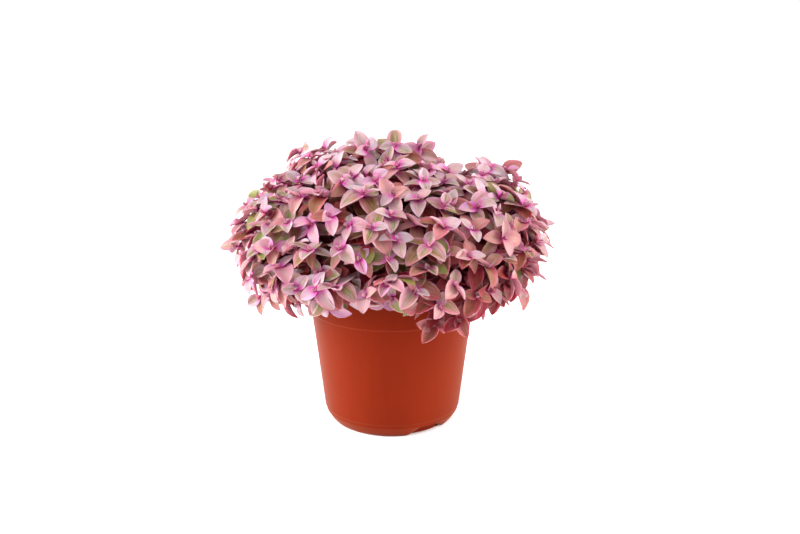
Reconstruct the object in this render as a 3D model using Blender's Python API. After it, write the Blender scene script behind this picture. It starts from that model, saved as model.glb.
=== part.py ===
"""Turtle vine in a plastic nursery pot, as separate closed solids.

The pot stands on the XY plane with its axis on Z and the photographed side towards -Y.
Potting soil fills it, and leafy stems stand in plain blind holes in the soil. Each stem is one
solid with its side shoot and its leaves. Lengths are metres, angles radians.
"""

import itertools
import math

import bmesh
import bpy
import numpy as np
from mathutils import Matrix, Vector
from mathutils.bvhtree import BVHTree

# Pot
POT_HEIGHT = 0.110
RIM_RADIUS = 0.0614
RIM_FOOT_RADIUS = 0.0602
RIM_FOOT_Z = 0.0854
WALL_TOP_RADIUS = 0.0593
BASE_LINE_RADIUS = 0.0501
BASE_LINE_Z = 0.011
FOOT_OUTER_RADIUS = 0.0434
FOOT_INNER_RADIUS = 0.0412
FLOOR_UNDERSIDE_Z = 0.0075
FLOOR_THICKNESS = 0.0020
POT_WALL = 0.0013
LIP_ROUND = 0.0006
POT_SEGMENTS = 40
NOTCH_COUNT = 2
NOTCH_AZIMUTH = math.radians(-54.0)
NOTCH_HALF_ANGLE = math.radians(22.0)
NOTCH_HEIGHT = 0.0066
DRAIN_COUNT = 4
DRAIN_RADIUS = 0.0040
DRAIN_CENTRE_RADIUS = 0.0362

# Potting soil
SOIL_EDGE_Z = 0.0965
SOIL_CROWN_Z = 0.0990
SOIL_ROUGHNESS = 0.0007
SOIL_SEGMENTS = 24
CLEARANCE = 0.0003

# Stems
STEM_COUNT = 42
STEM_SIDES = 3
STEM_POINTS = 6
STEM_RADIUS = 0.00115
STEM_CLIMB = 0.45
RIM_CLIMB = 0.042
STEM_PULL = 0.42
SHOOT_POINTS = 4
SHOOT_RADIUS = 0.0010
SHOOT_PULL = 0.35
SHOOT_START = 0.62
SHOOT_REACH = (0.026, 0.032)
SHOOT_CHOICES = 24
BUD_LENGTH = 0.0020
ROOT_DEPTH = 0.012
ROOT_SPREAD = 0.0475
HOLE_SIDES = 5
GOLDEN_ANGLE = math.pi * (3.0 - math.sqrt(5.0))

# The mound that the shoot tips lie on, a superellipse turned about Z
MOUND_RADIUS_X = 0.1090
MOUND_RADIUS_Y = 0.1030
MOUND_WAIST_Z = 0.1280
MOUND_RISE = 0.0700
MOUND_POWER = 2.6
DROP_SIDES = 0.0430
DROP_FRONT = 0.0190
DROP_BACK = 0.0330
FRINGE_ANGLE = math.radians(138.0)
# A spray that hangs lower at the front right, and a hollow in the right of the crown
SPRAY_AZIMUTH = math.radians(-67.0)
SPRAY_HALF_WIDTH = math.radians(12.0)
SPRAY_DROP = 0.0290
HOLLOW_X = 0.0560
HOLLOW_HALF_WIDTH = 0.0230
HOLLOW_DEPTH = 0.0130
# Tufts that stand proud of the mound, and slack places: centre, half width and push
TUFTS = (
    ((-0.012, 0.000, 0.198), 0.022, 0.010),
    ((-0.058, 0.000, 0.192), 0.022, 0.010),
    ((-0.094, 0.000, 0.176), 0.016, -0.005),
    ((0.024, 0.000, 0.194), 0.016, 0.005),
    ((0.084, 0.000, 0.180), 0.022, 0.009),
    ((-0.109, 0.000, 0.133), 0.016, 0.006),
    ((-0.105, 0.000, 0.100), 0.016, 0.010),
    ((0.109, 0.000, 0.130), 0.013, 0.005),
    ((0.108, 0.000, 0.155), 0.014, -0.004),
    ((0.104, 0.000, 0.106), 0.024, -0.011),
    ((0.000, 0.110, 0.125), 0.060, -0.006),
)
TIP_SCATTER = 0.0045
ARRIVAL_TURN = 1.15
LIGHT_PULL = 0.85

# Leaves
PAIR_TURN = math.radians(76.0)
PAIR_OFFSET = 0.0011
SIZE_SPREAD = 0.08
LEAN_SPREAD = 0.12
SPIN_SPREAD = 0.15
LEAF_THICKNESS = 0.0012
LEAF_FOOT = 0.0002
LEAF_ARCH = math.radians(34.0)
LARGE_LEAF = ((0.11, 0.40), (0.42, 1.00), (0.76, 0.62))
SMALL_LEAF = ((0.25, 0.92), (0.64, 0.84))
# Each pair of leaves on a shoot: distance back from its tip, length, width, lean from the shoot's way
# to the light, and outline
MAIN_LEAVES = (
    (0.0015, 0.0185, 0.0135, math.radians(42.0), SMALL_LEAF),
    (0.0060, 0.0245, 0.0180, math.radians(70.0), LARGE_LEAF),
    (0.0125, 0.0260, 0.0190, math.radians(94.0), LARGE_LEAF),
)
SIDE_LEAVES = (
    (0.0020, 0.0220, 0.0160, math.radians(54.0), SMALL_LEAF),
    (0.0080, 0.0250, 0.0180, math.radians(86.0), LARGE_LEAF),
)
# What a leaf tries, in turn, to be clear of the others
SIZE_TRIES = (1.0, 0.86, 0.72)
LEAN_TRIES = (0.0, -0.22, 0.22, -0.44)
SPIN_TRIES = (0.0, 0.22, -0.22, 0.44, -0.44)
LEAF_NEIGHBOURHOOD = 0.055


def clear_scene():
    for item in list(bpy.data.objects):
        bpy.data.objects.remove(item, do_unlink=True)


def make_material(name, colour, roughness):
    """A Principled material of one colour."""
    material = bpy.data.materials.new(name)
    material.use_nodes = True
    shader = material.node_tree.nodes["Principled BSDF"]
    shader.inputs["Base Color"].default_value = (*colour, 1.0)
    shader.inputs["Roughness"].default_value = roughness
    shader.inputs["Metallic"].default_value = 0.0
    return material


def add_object(name, vertices, faces, material=None):
    """A mesh object from points and faces, with its faces turned outwards."""
    mesh = bpy.data.meshes.new(name)
    mesh.from_pydata([tuple(v) for v in vertices], [], [tuple(f) for f in faces])
    shape = bmesh.new()
    shape.from_mesh(mesh)
    bmesh.ops.recalc_face_normals(shape, faces=shape.faces)
    shape.to_mesh(mesh)
    shape.free()
    obj = bpy.data.objects.new(name, mesh)
    bpy.context.scene.collection.objects.link(obj)
    if material is not None:
        mesh.materials.append(material)
    return obj


def lathe(outline, segments, shift=None):
    """Points and faces of an outline of (radius, z) turned about Z; its two ends lie on the axis."""
    vertices = [(0.0, 0.0, outline[0][1])]
    inner = outline[1:-1]
    for radius, z in inner:
        for k in range(segments):
            azimuth = 2.0 * math.pi * k / segments
            height = z + (shift(radius, z, azimuth) if shift else 0.0)
            vertices.append((radius * math.cos(azimuth), radius * math.sin(azimuth), height))
    vertices.append((0.0, 0.0, outline[-1][1]))
    last = len(vertices) - 1
    faces = []
    for k in range(segments):
        after = (k + 1) % segments
        faces.append((0, 1 + after, 1 + k))
        for row in range(len(inner) - 1):
            low = 1 + row * segments
            high = low + segments
            faces.append((low + k, low + after, high + after, high + k))
        top = 1 + (len(inner) - 1) * segments
        faces.append((top + k, top + after, last))
    return vertices, faces


def bake_boolean(obj, operation, operand=None, collection=None):
    """Apply one exact Boolean to an object, then remove what it was cut with or joined to."""
    modifier = obj.modifiers.new("Boolean", "BOOLEAN")
    modifier.operation = operation
    modifier.solver = "EXACT"
    if collection is None:
        modifier.object = operand
        used = [operand]
    else:
        modifier.operand_type = "COLLECTION"
        modifier.collection = collection
        used = list(collection.objects)
    graph = bpy.context.evaluated_depsgraph_get()
    result = bpy.data.meshes.new_from_object(obj.evaluated_get(graph), depsgraph=graph)
    obj.modifiers.clear()
    obj.data = result
    for item in used:
        bpy.data.objects.remove(item, do_unlink=True)
    if collection is not None:
        bpy.data.collections.remove(collection)


def prism(centre, radius, bottom, top, sides):
    """Points and faces of an upright prism."""
    angles = [2.0 * math.pi * k / sides for k in range(sides)]
    ring = [(centre[0] + radius * math.cos(a), centre[1] + radius * math.sin(a)) for a in angles]
    vertices = [(x, y, bottom) for x, y in ring] + [(x, y, top) for x, y in ring]
    faces = [tuple(range(sides)), tuple(range(sides, 2 * sides))]
    faces += [(k, (k + 1) % sides, sides + (k + 1) % sides, sides + k) for k in range(sides)]
    return vertices, faces


def joined(parts):
    """One list of points and one of faces from several, kept apart."""
    vertices = []
    faces = []
    for part_vertices, part_faces in parts:
        start = len(vertices)
        vertices += list(part_vertices)
        faces += [tuple(start + i for i in face) for face in part_faces]
    return vertices, faces


def notch_lift(radius, z, azimuth):
    """How far the foot's edge is raised at a notch: a smooth arch that fades out at the base line."""
    if z > FLOOR_UNDERSIDE_Z or radius < FOOT_INNER_RADIUS:
        return 0.0
    step = 2.0 * math.pi / NOTCH_COUNT
    off = (azimuth - NOTCH_AZIMUTH + 0.5 * step) % step - 0.5 * step
    if abs(off) >= NOTCH_HALF_ANGLE:
        return 0.0
    arch = 0.5 + 0.5 * math.cos(math.pi * off / NOTCH_HALF_ANGLE)
    return NOTCH_HEIGHT * arch ** 0.7 * (1.0 - z / BASE_LINE_Z)


def pot_outline():
    """The pot's section from the middle of its underside, round the rim, to its inner floor."""
    floor_top = FLOOR_UNDERSIDE_Z + FLOOR_THICKNESS
    lip = [
        (RIM_RADIUS - LIP_ROUND * (1.0 - math.cos(a)), POT_HEIGHT - LIP_ROUND * (1.0 - math.sin(a)))
        for a in np.linspace(0.0, 0.5 * math.pi, 3)
    ]
    return [
        (0.0, FLOOR_UNDERSIDE_Z),
        (FOOT_INNER_RADIUS - 0.0005, FLOOR_UNDERSIDE_Z),
        (FOOT_INNER_RADIUS, 0.0),
        (FOOT_OUTER_RADIUS, 0.0),
        (FOOT_OUTER_RADIUS + 0.0025, 0.0026),
        (BASE_LINE_RADIUS - 0.0009, 0.0078),
        (BASE_LINE_RADIUS, BASE_LINE_Z),
        (WALL_TOP_RADIUS, RIM_FOOT_Z - 0.0005),
        (RIM_FOOT_RADIUS, RIM_FOOT_Z),
        *lip,
        (RIM_RADIUS - POT_WALL, POT_HEIGHT - LIP_ROUND),
        (RIM_FOOT_RADIUS - POT_WALL, RIM_FOOT_Z + 0.0005),
        (WALL_TOP_RADIUS - POT_WALL, RIM_FOOT_Z - 0.0005),
        (BASE_LINE_RADIUS - POT_WALL, floor_top + 0.0010),
        (BASE_LINE_RADIUS - POT_WALL - 0.0010, floor_top),
        (0.0, floor_top),
    ]


def build_pot(material):
    """The moulded pot, with notches in its foot ring and drain holes through its floor."""
    pot = add_object("pot", *lathe(pot_outline(), POT_SEGMENTS, notch_lift), material)
    drains = []
    for k in range(DRAIN_COUNT):
        azimuth = NOTCH_AZIMUTH + 2.0 * math.pi * k / DRAIN_COUNT
        centre = (DRAIN_CENTRE_RADIUS * math.cos(azimuth), DRAIN_CENTRE_RADIUS * math.sin(azimuth))
        drains.append(prism(centre, DRAIN_RADIUS, 0.0, 2.0 * BASE_LINE_Z, 12))
    bake_boolean(pot, "DIFFERENCE", add_object("drains", *joined(drains)))
    pot.data.shade_smooth()
    pot.data.set_sharp_from_angle(angle=math.radians(35.0))
    return pot


def root_place(index):
    """Where a stem stands in the soil: a sunflower pattern, the later stems further out."""
    radius = ROOT_SPREAD * math.sqrt((index + 0.5) / STEM_COUNT)
    azimuth = index * GOLDEN_ANGLE
    return radius * math.cos(azimuth), radius * math.sin(azimuth)


def soil_height(x, y):
    """The soil's surface: a low crown with slow bumps."""
    share = math.hypot(x, y) / WALL_TOP_RADIUS
    bumps = math.sin(310.0 * x + 1.0) * math.cos(270.0 * y) + 0.6 * math.sin(520.0 * y - 350.0 * x)
    return SOIL_CROWN_Z - (SOIL_CROWN_Z - SOIL_EDGE_Z) * share ** 2 + SOIL_ROUGHNESS * bumps


def build_soil(material):
    """The soil plug, clear of the pot all round, with one plain blind hole for each stem."""
    floor_top = FLOOR_UNDERSIDE_Z + FLOOR_THICKNESS
    gap = CLEARANCE
    reach = RIM_FOOT_RADIUS - POT_WALL - gap
    outline = [
        (0.0, floor_top + gap),
        (BASE_LINE_RADIUS - POT_WALL - 0.0012 - gap, floor_top + gap),
        (WALL_TOP_RADIUS - POT_WALL - gap, RIM_FOOT_Z - 0.0005),
        (reach, RIM_FOOT_Z + 0.0008),
        (reach, SOIL_EDGE_Z),
        (0.80 * reach, SOIL_CROWN_Z),
        (0.55 * reach, SOIL_CROWN_Z),
        (0.28 * reach, SOIL_CROWN_Z),
        (0.0, SOIL_CROWN_Z),
    ]
    vertices, faces = lathe(outline, SOIL_SEGMENTS)
    vertices = [(x, y, soil_height(x, y) if z >= SOIL_EDGE_Z else z) for x, y, z in vertices]
    soil = add_object("potting_soil", vertices, faces, material)
    hole_radius = (STEM_RADIUS + CLEARANCE) / math.cos(math.pi / HOLE_SIDES)
    holes = []
    for index in range(STEM_COUNT):
        x, y = root_place(index)
        bottom = soil_height(x, y) - ROOT_DEPTH - CLEARANCE
        holes.append(prism((x, y), hole_radius, bottom, POT_HEIGHT, HOLE_SIDES))
    bake_boolean(soil, "DIFFERENCE", add_object("holes", *joined(holes)))
    return soil


def mound_drop(azimuth):
    """How far the mound hangs below its waist: deep at the sides and in the spray, shallow in front."""
    ends = DROP_FRONT if math.sin(azimuth) < 0.0 else DROP_BACK
    off = math.remainder(azimuth - SPRAY_AZIMUTH, 2.0 * math.pi) / SPRAY_HALF_WIDTH
    spray = SPRAY_DROP * math.exp(-off * off)
    return DROP_SIDES * math.cos(azimuth) ** 2 + ends * math.sin(azimuth) ** 2 + spray


def mound_point(azimuth, angle):
    """The mound's surface at an azimuth and at an angle from its crown, and the way out of it."""
    height = MOUND_RISE if angle < 0.5 * math.pi else mound_drop(azimuth)
    across = abs(math.sin(angle)) ** (2.0 / MOUND_POWER)
    up = math.copysign(abs(math.cos(angle)) ** (2.0 / MOUND_POWER), math.cos(angle))
    x = MOUND_RADIUS_X * across * math.cos(azimuth)
    y = MOUND_RADIUS_Y * across * math.sin(azimuth)
    hollow = HOLLOW_DEPTH * math.exp(-(((x - HOLLOW_X) / HOLLOW_HALF_WIDTH) ** 2)) * max(up, 0.0)
    point = Vector((x, y, MOUND_WAIST_Z + height * up - hollow))
    flat = across ** (MOUND_POWER - 1.0)
    outward = Vector((
        flat * math.cos(azimuth) / MOUND_RADIUS_X,
        flat * math.sin(azimuth) / MOUND_RADIUS_Y,
        math.copysign(abs(up) ** (MOUND_POWER - 1.0), up) / height,
    ))
    outward.normalize()
    push = sum(
        size * math.exp(-(((point - Vector(centre)).length / width) ** 2)) for centre, width, size in TUFTS
    )
    return point + outward * push, outward


def mound_angles(count):
    """Angles from the crown that share the mound's surface evenly among a number of shoots."""
    angles = np.linspace(0.0, FRINGE_ANGLE, 400)
    points = np.array([tuple(mound_point(math.pi, a)[0]) for a in angles])
    radii = np.hypot(points[:, 0], points[:, 1])
    steps = np.linalg.norm(np.diff(points, axis=0), axis=1)
    area = np.concatenate([[0.0], np.cumsum(0.5 * (radii[1:] + radii[:-1]) * steps)])
    return np.interp((np.arange(count) + 0.5) / count * area[-1], area, angles)


def facing(outward):
    """The way a shoot's leaves face: out of the mound and turned up to the light."""
    return (outward + Vector((0.0, 0.0, LIGHT_PULL))).normalized()


def arrival(azimuth, angle):
    """The way a stem runs as it reaches its tip: up at the crown, out at the waist, down below it."""
    turn = ARRIVAL_TURN * angle
    across = math.sin(turn)
    return Vector((across * math.cos(azimuth), across * math.sin(azimuth), math.cos(turn)))


def curve_points(start, start_way, end, end_way, count):
    """Points on a cubic curve with a given way out of its start and into its end."""
    first = start + start_way
    second = end - end_way
    points = []
    for t in np.linspace(0.0, 1.0, count):
        s = 1.0 - t
        points.append(start * s ** 3 + first * 3.0 * s * s * t + second * 3.0 * s * t * t + end * t ** 3)
    return points


def stem_route(index, tip, azimuth, angle):
    """A stem's route from the bottom of its hole, over the rim where it has to, to its tip."""
    x, y = root_place(index)
    ground = Vector((x, y, soil_height(x, y)))
    reach = (tip - ground).length
    climb = Vector((0.0, 0.0, max(STEM_CLIMB * reach, RIM_CLIMB * math.sin(0.5 * angle))))
    points = curve_points(ground, climb, tip, arrival(azimuth, angle) * STEM_PULL * reach, STEM_POINTS)
    return [ground - Vector((0.0, 0.0, ROOT_DEPTH))] + points


def shoot_route(stem, tip, angle):
    """A side shoot's route: it leaves the stem about two thirds of the way up."""
    at = round(SHOOT_START * (len(stem) - 1))
    way = (stem[at] - stem[at - 1]).normalized()
    pull = SHOOT_PULL * (tip - stem[at]).length
    azimuth = math.atan2(tip.y, tip.x)
    return curve_points(stem[at], way * pull, tip, arrival(azimuth, angle) * pull, SHOOT_POINTS)


def tube(route, radius):
    """Points and faces of a stem along a route, ending in a pointed bud."""
    vertices = []
    side = Vector((1.0, 0.0, 0.0))
    last = len(route) - 1
    for k, point in enumerate(route):
        way = (route[min(k + 1, last)] - route[max(k - 1, 0)]).normalized()
        side = (side - way * side.dot(way)).normalized()
        over = way.cross(side)
        for j in range(STEM_SIDES):
            turn = 2.0 * math.pi * j / STEM_SIDES
            vertices.append(point + (side * math.cos(turn) + over * math.sin(turn)) * radius)
    vertices.append(route[-1] + (route[-1] - route[-2]).normalized() * BUD_LENGTH)
    faces = [tuple(range(STEM_SIDES))]
    for row in range(last):
        low = row * STEM_SIDES
        for j in range(STEM_SIDES):
            after = (j + 1) % STEM_SIDES
            faces.append((low + j, low + after, low + STEM_SIDES + after, low + STEM_SIDES + j))
    low = last * STEM_SIDES
    faces += [(low + j, low + (j + 1) % STEM_SIDES, len(vertices) - 1) for j in range(STEM_SIDES)]
    return vertices, faces


def blade(length, width, thickness, stations, frame):
    """Points and faces of one arched leaf blade, its upper side flat across and its midrib a keel.

    The midrib is an arc of a circle. The foot is a point just inside the stem, and each station
    (share of the length, share of the width) has two margins and the keel between them.
    """
    bend = length / LEAF_ARCH
    points = [Vector((LEAF_FOOT, 0.0, -LEAF_FOOT))]
    for share, fullness in stations:
        turn = LEAF_ARCH * share
        x = bend * math.sin(turn)
        z = bend * (math.cos(turn) - 1.0)
        half = 0.5 * width * fullness
        keel = thickness * (1.1 - 0.5 * share)
        points += [Vector((x, half, z)), Vector((x, -half, z)), Vector((x, 0.0, z - keel))]
    tip = len(points)
    points.append(Vector((bend * math.sin(LEAF_ARCH), 0.0, bend * (math.cos(LEAF_ARCH) - 1.0))))
    faces = []
    for j in range(3):
        after = (j + 1) % 3
        faces.append((0, 1 + after, 1 + j))
        for row in range(len(stations) - 1):
            low = 1 + 3 * row
            faces.append((low + j, low + after, low + 3 + after, low + 3 + j))
        low = 1 + 3 * (len(stations) - 1)
        faces.append((low + j, low + after, tip))
    return [frame @ p for p in points], faces


def leaf_frame(foot, axis, spin, lean):
    """A leaf's placement: it leans away from the shoot's axis, its upper side facing along it."""
    side = axis.orthogonal().normalized()
    over = axis.cross(side)
    out = side * math.cos(spin) + over * math.sin(spin)
    way = axis * math.cos(lean) + out * math.sin(lean)
    face = axis * math.sin(lean) - out * math.cos(lean)
    rotation = Matrix((way, face.cross(way), face)).transposed()
    return Matrix.Translation(foot) @ rotation.to_4x4()


def tree(shape):
    """A search tree of a shape's faces."""
    vertices, faces = shape
    return BVHTree.FromPolygons(vertices, faces)


def back_along(route, distance):
    """The point at a distance back from a route's tip."""
    for k in range(len(route) - 1, 0, -1):
        step = (route[k] - route[k - 1]).length
        if distance <= step:
            break
        distance -= step
    return route[k].lerp(route[k - 1], distance / step)


def shoot_choices(azimuth, angle):
    """Places on the mound round a stem's tip where its side shoot may end."""
    for k in range(SHOOT_CHOICES):
        turn = 2.0 * math.pi * k / SHOOT_CHOICES
        reach = SHOOT_REACH[k % 2]
        new_azimuth = azimuth + reach * math.cos(turn) / (MOUND_RADIUS_X * max(math.sin(angle), 0.2))
        new_angle = angle + reach * math.sin(turn) / (0.5 * (MOUND_RADIUS_X + MOUND_RISE))
        if 0.0 < new_angle < FRINGE_ANGLE:
            yield *mound_point(new_azimuth, new_angle), new_angle


def plan_stems(rng):
    """Every stem's tube and its side shoot's, each with the leaves' way to the light.

    The stems' tips share the mound evenly by the golden angle, and each side shoot then grows to
    the widest gap round its stem's tip that it reaches without crossing another.
    """
    plans = []
    tips = []
    for index, angle in enumerate(mound_angles(STEM_COUNT)):
        azimuth = index * GOLDEN_ANGLE
        point, outward = mound_point(azimuth, angle)
        tip = point + outward * rng.uniform(-TIP_SCATTER, TIP_SCATTER)
        route = stem_route(index, tip, azimuth, angle)
        shape = tube(route, STEM_RADIUS)
        plans.append({
            "place": (azimuth, angle),
            "shoots": [{"route": route, "axis": facing(outward), "shape": shape, "tree": tree(shape)}],
            "leaves": [],
        })
        tips.append(tip)
    for plan in plans:
        stem = plan["shoots"][0]["route"]
        others = [shoot["tree"] for other in plans if other is not plan for shoot in other["shoots"]]
        choices = list(shoot_choices(*plan["place"]))
        choices.sort(key=lambda choice: -min((choice[0] - tip).length for tip in tips))
        for point, outward, angle in choices:
            route = shoot_route(stem, point, angle)
            grown = tree(tube(route, SHOOT_RADIUS + CLEARANCE))
            if not any(grown.overlap(other) for other in others):
                shape = tube(route, SHOOT_RADIUS)
                shoot = {"route": route, "axis": facing(outward), "shape": shape, "tree": tree(shape)}
                plan["shoots"].append(shoot)
                tips.append(point)
                break
    return plans


def plan_leaves(plans, rng):
    """Every leaf to place, the big open pairs first."""
    wanted = []
    for plan in plans:
        for shoot, leaves in zip(plan["shoots"], (MAIN_LEAVES, SIDE_LEAVES)):
            start = rng.uniform(0.0, 2.0 * math.pi)
            for rank, (back, length, width, lean, stations) in enumerate(leaves):
                for half in range(2):
                    size = rng.uniform(1.0 - SIZE_SPREAD, 1.0 + SIZE_SPREAD)
                    turn = start + rank * PAIR_TURN + half * math.pi
                    wanted.append({
                        "plan": plan,
                        "shoot": shoot,
                        "rank": rank,
                        "foot": back_along(shoot["route"], back + half * PAIR_OFFSET),
                        "length": length * size,
                        "width": width * size,
                        "stations": stations,
                        "lean": lean + rng.uniform(-LEAN_SPREAD, LEAN_SPREAD),
                        "spin": turn + rng.uniform(-SPIN_SPREAD, SPIN_SPREAD),
                    })
    return sorted(wanted, key=lambda leaf: -leaf["rank"])


def place_leaves(plans, wanted, fixed):
    """Put each leaf where it is clear of all else, turning, tilting or shrinking it as it needs."""
    placed = []
    for leaf in wanted:
        foot = leaf["foot"]
        stems = [shoot["tree"] for plan in plans for shoot in plan["shoots"] if shoot is not leaf["shoot"]]
        near = [other for other in placed if (other["foot"] - foot).length < LEAF_NEIGHBOURHOOD]
        for size, lean, spin in itertools.product(SIZE_TRIES, LEAN_TRIES, SPIN_TRIES):
            frame = leaf_frame(foot, leaf["shoot"]["axis"], leaf["spin"] + spin, leaf["lean"] + lean)
            length = leaf["length"] * size
            width = leaf["width"] * size
            grown, faces = blade(
                length + CLEARANCE,
                width + 2.0 * CLEARANCE,
                LEAF_THICKNESS + 2.0 * CLEARANCE,
                leaf["stations"],
                frame,
            )
            whole = tree((grown, faces))
            beyond_foot = tree((grown, [face for face in faces if 0 not in face]))
            if any(whole.overlap(other) for other in fixed + stems):
                continue
            if any(
                (beyond_foot if other["plan"] is leaf["plan"] else whole).overlap(other["tree"])
                for other in near
            ):
                continue
            shape = blade(length, width, LEAF_THICKNESS, leaf["stations"], frame)
            leaf["plan"]["leaves"].append(shape)
            placed.append({"foot": foot, "plan": leaf["plan"], "tree": tree(shape)})
            break


def build_stems(material):
    """One solid for each leafy stem: its stem, side shoot and leaves in one union."""
    rng = np.random.default_rng(7)
    graph = bpy.context.evaluated_depsgraph_get()
    fixed = [BVHTree.FromObject(bpy.data.objects[name], graph) for name in ("pot", "potting_soil")]
    plans = plan_stems(rng)
    place_leaves(plans, plan_leaves(plans, rng), fixed)
    for number, plan in enumerate(plans):
        name = f"leafy_stem_{number + 1:02d}"
        stem = add_object(name, *plan["shoots"][0]["shape"], material)
        group = bpy.data.collections.new(f"{name}_parts")
        bpy.context.scene.collection.children.link(group)
        for shape in [shoot["shape"] for shoot in plan["shoots"][1:]] + plan["leaves"]:
            piece = add_object(f"{name}_piece", *shape)
            bpy.context.scene.collection.objects.unlink(piece)
            group.objects.link(piece)
        bake_boolean(stem, "UNION", collection=group)


def main():
    clear_scene()
    build_pot(make_material("terracotta_plastic", (0.42, 0.045, 0.014), 0.42))
    build_soil(make_material("dark_potting_soil", (0.035, 0.022, 0.014), 0.95))
    build_stems(make_material("pink_foliage", (0.62, 0.30, 0.36), 0.45))


main()
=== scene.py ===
"""The looks of a turtle vine in a plastic nursery pot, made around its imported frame."""

import itertools
import math

import bpy
import numpy as np
from mathutils import Matrix, Vector
from mathutils.bvhtree import BVHTree


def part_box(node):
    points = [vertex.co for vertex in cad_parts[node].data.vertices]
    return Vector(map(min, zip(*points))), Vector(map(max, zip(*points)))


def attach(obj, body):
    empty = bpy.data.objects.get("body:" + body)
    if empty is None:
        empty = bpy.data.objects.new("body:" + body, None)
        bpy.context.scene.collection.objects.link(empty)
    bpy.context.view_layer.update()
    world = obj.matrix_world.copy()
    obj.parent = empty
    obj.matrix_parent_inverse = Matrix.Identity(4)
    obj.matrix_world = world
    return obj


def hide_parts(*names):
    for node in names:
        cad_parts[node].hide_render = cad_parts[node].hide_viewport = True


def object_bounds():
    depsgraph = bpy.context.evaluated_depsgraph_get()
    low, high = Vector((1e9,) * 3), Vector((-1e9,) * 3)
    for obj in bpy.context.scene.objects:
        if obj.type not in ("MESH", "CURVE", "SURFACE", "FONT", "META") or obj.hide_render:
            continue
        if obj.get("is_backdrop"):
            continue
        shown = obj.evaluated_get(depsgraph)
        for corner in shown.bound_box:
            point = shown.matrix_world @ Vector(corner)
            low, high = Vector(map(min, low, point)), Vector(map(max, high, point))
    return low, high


bl_info = {
    "name": "Turtle vine in a nursery pot",
    "version": (1, 0, 0),
    "blender": (4, 5, 0),
    "location": "3D View > Sidebar > Turtle vine",
    "description": "Makes a pink turtle vine, its plastic pot, its soil and a plain studio",
    "category": "Object",
}

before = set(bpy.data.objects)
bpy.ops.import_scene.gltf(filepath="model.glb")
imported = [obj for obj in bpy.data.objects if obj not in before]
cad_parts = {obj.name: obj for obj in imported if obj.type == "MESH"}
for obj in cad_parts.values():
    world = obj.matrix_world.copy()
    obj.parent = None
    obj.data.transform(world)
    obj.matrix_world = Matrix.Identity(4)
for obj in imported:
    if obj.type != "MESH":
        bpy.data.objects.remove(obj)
FRAME_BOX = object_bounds()
POT_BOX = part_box("pot")

# The frame's own rules for the pot, the soil, the stems and the mound, so that every piece stays
# where its node is. Lengths are metres and angles are radians.
RIM_FOOT_RADIUS = 0.0602
RIM_FOOT_Z = 0.0854
WALL_TOP_RADIUS = 0.0593
BASE_LINE_RADIUS = 0.0501
BASE_LINE_Z = 0.011
FOOT_OUTER_RADIUS = 0.0434
FOOT_INNER_RADIUS = 0.0412
FLOOR_UNDERSIDE_Z = 0.0075
FLOOR_THICKNESS = 0.0020
LIP_ROUND = 0.0006
NOTCH_COUNT = 2
NOTCH_AZIMUTH = math.radians(-54.0)
NOTCH_HALF_ANGLE = math.radians(22.0)
NOTCH_HEIGHT = 0.0066
NOTCH_FULLNESS = 0.7
DRAIN_COUNT = 4
DRAIN_RADIUS = 0.0040
DRAIN_CENTRE_RADIUS = 0.0362
SOIL_EDGE_Z = 0.0965
SOIL_CROWN_Z = 0.0990
SOIL_ROUGHNESS = 0.0007
CLEARANCE = 0.0003
STEM_COUNT = 42
STEM_SIDES = 3
STEM_POINTS = 6
STEM_CLIMB = 0.45
RIM_CLIMB = 0.042
STEM_PULL = 0.42
SHOOT_POINTS = 4
SHOOT_RADIUS = 0.0010
SHOOT_PULL = 0.35
SHOOT_START = 0.62
SHOOT_REACH = (0.026, 0.032)
SHOOT_CHOICES = 24
CROWN_SINE = 0.2
BUD_LENGTH = 0.0020
ROOT_DEPTH = 0.012
ROOT_SPREAD = 0.0475
TURN = 2.0 * math.pi
GOLDEN_ANGLE = math.pi * (3.0 - math.sqrt(5.0))
MOUND_RADIUS_X = 0.1090
MOUND_RADIUS_Y = 0.1030
MOUND_WAIST_Z = 0.1280
MOUND_RISE = 0.0700
MOUND_POWER = 2.6
DROP_SIDES = 0.0430
DROP_FRONT = 0.0190
DROP_BACK = 0.0330
FRINGE_ANGLE = math.radians(138.0)
SPRAY_AZIMUTH = math.radians(-67.0)
SPRAY_HALF_WIDTH = math.radians(12.0)
SPRAY_DROP = 0.0290
HOLLOW_X = 0.0560
HOLLOW_HALF_WIDTH = 0.0230
HOLLOW_DEPTH = 0.0130
TIP_SCATTER = 0.0045
ARRIVAL_TURN = 1.15
LIGHT_PULL = 0.85
# Tufts that stand proud of the mound, and slack places: centre, half width and push
TUFTS = (
    ((-0.012, 0.000, 0.198), 0.022, 0.010),
    ((-0.058, 0.000, 0.192), 0.022, 0.010),
    ((-0.094, 0.000, 0.176), 0.016, -0.005),
    ((0.024, 0.000, 0.194), 0.016, 0.005),
    ((0.084, 0.000, 0.180), 0.022, 0.009),
    ((-0.109, 0.000, 0.133), 0.016, 0.006),
    ((-0.105, 0.000, 0.100), 0.016, 0.010),
    ((0.109, 0.000, 0.130), 0.013, 0.005),
    ((0.108, 0.000, 0.155), 0.014, -0.004),
    ((0.104, 0.000, 0.106), 0.024, -0.011),
    ((0.000, 0.110, 0.125), 0.060, -0.006),
    ((0.112, 0.000, 0.146), 0.018, 0.005),
)

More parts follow.
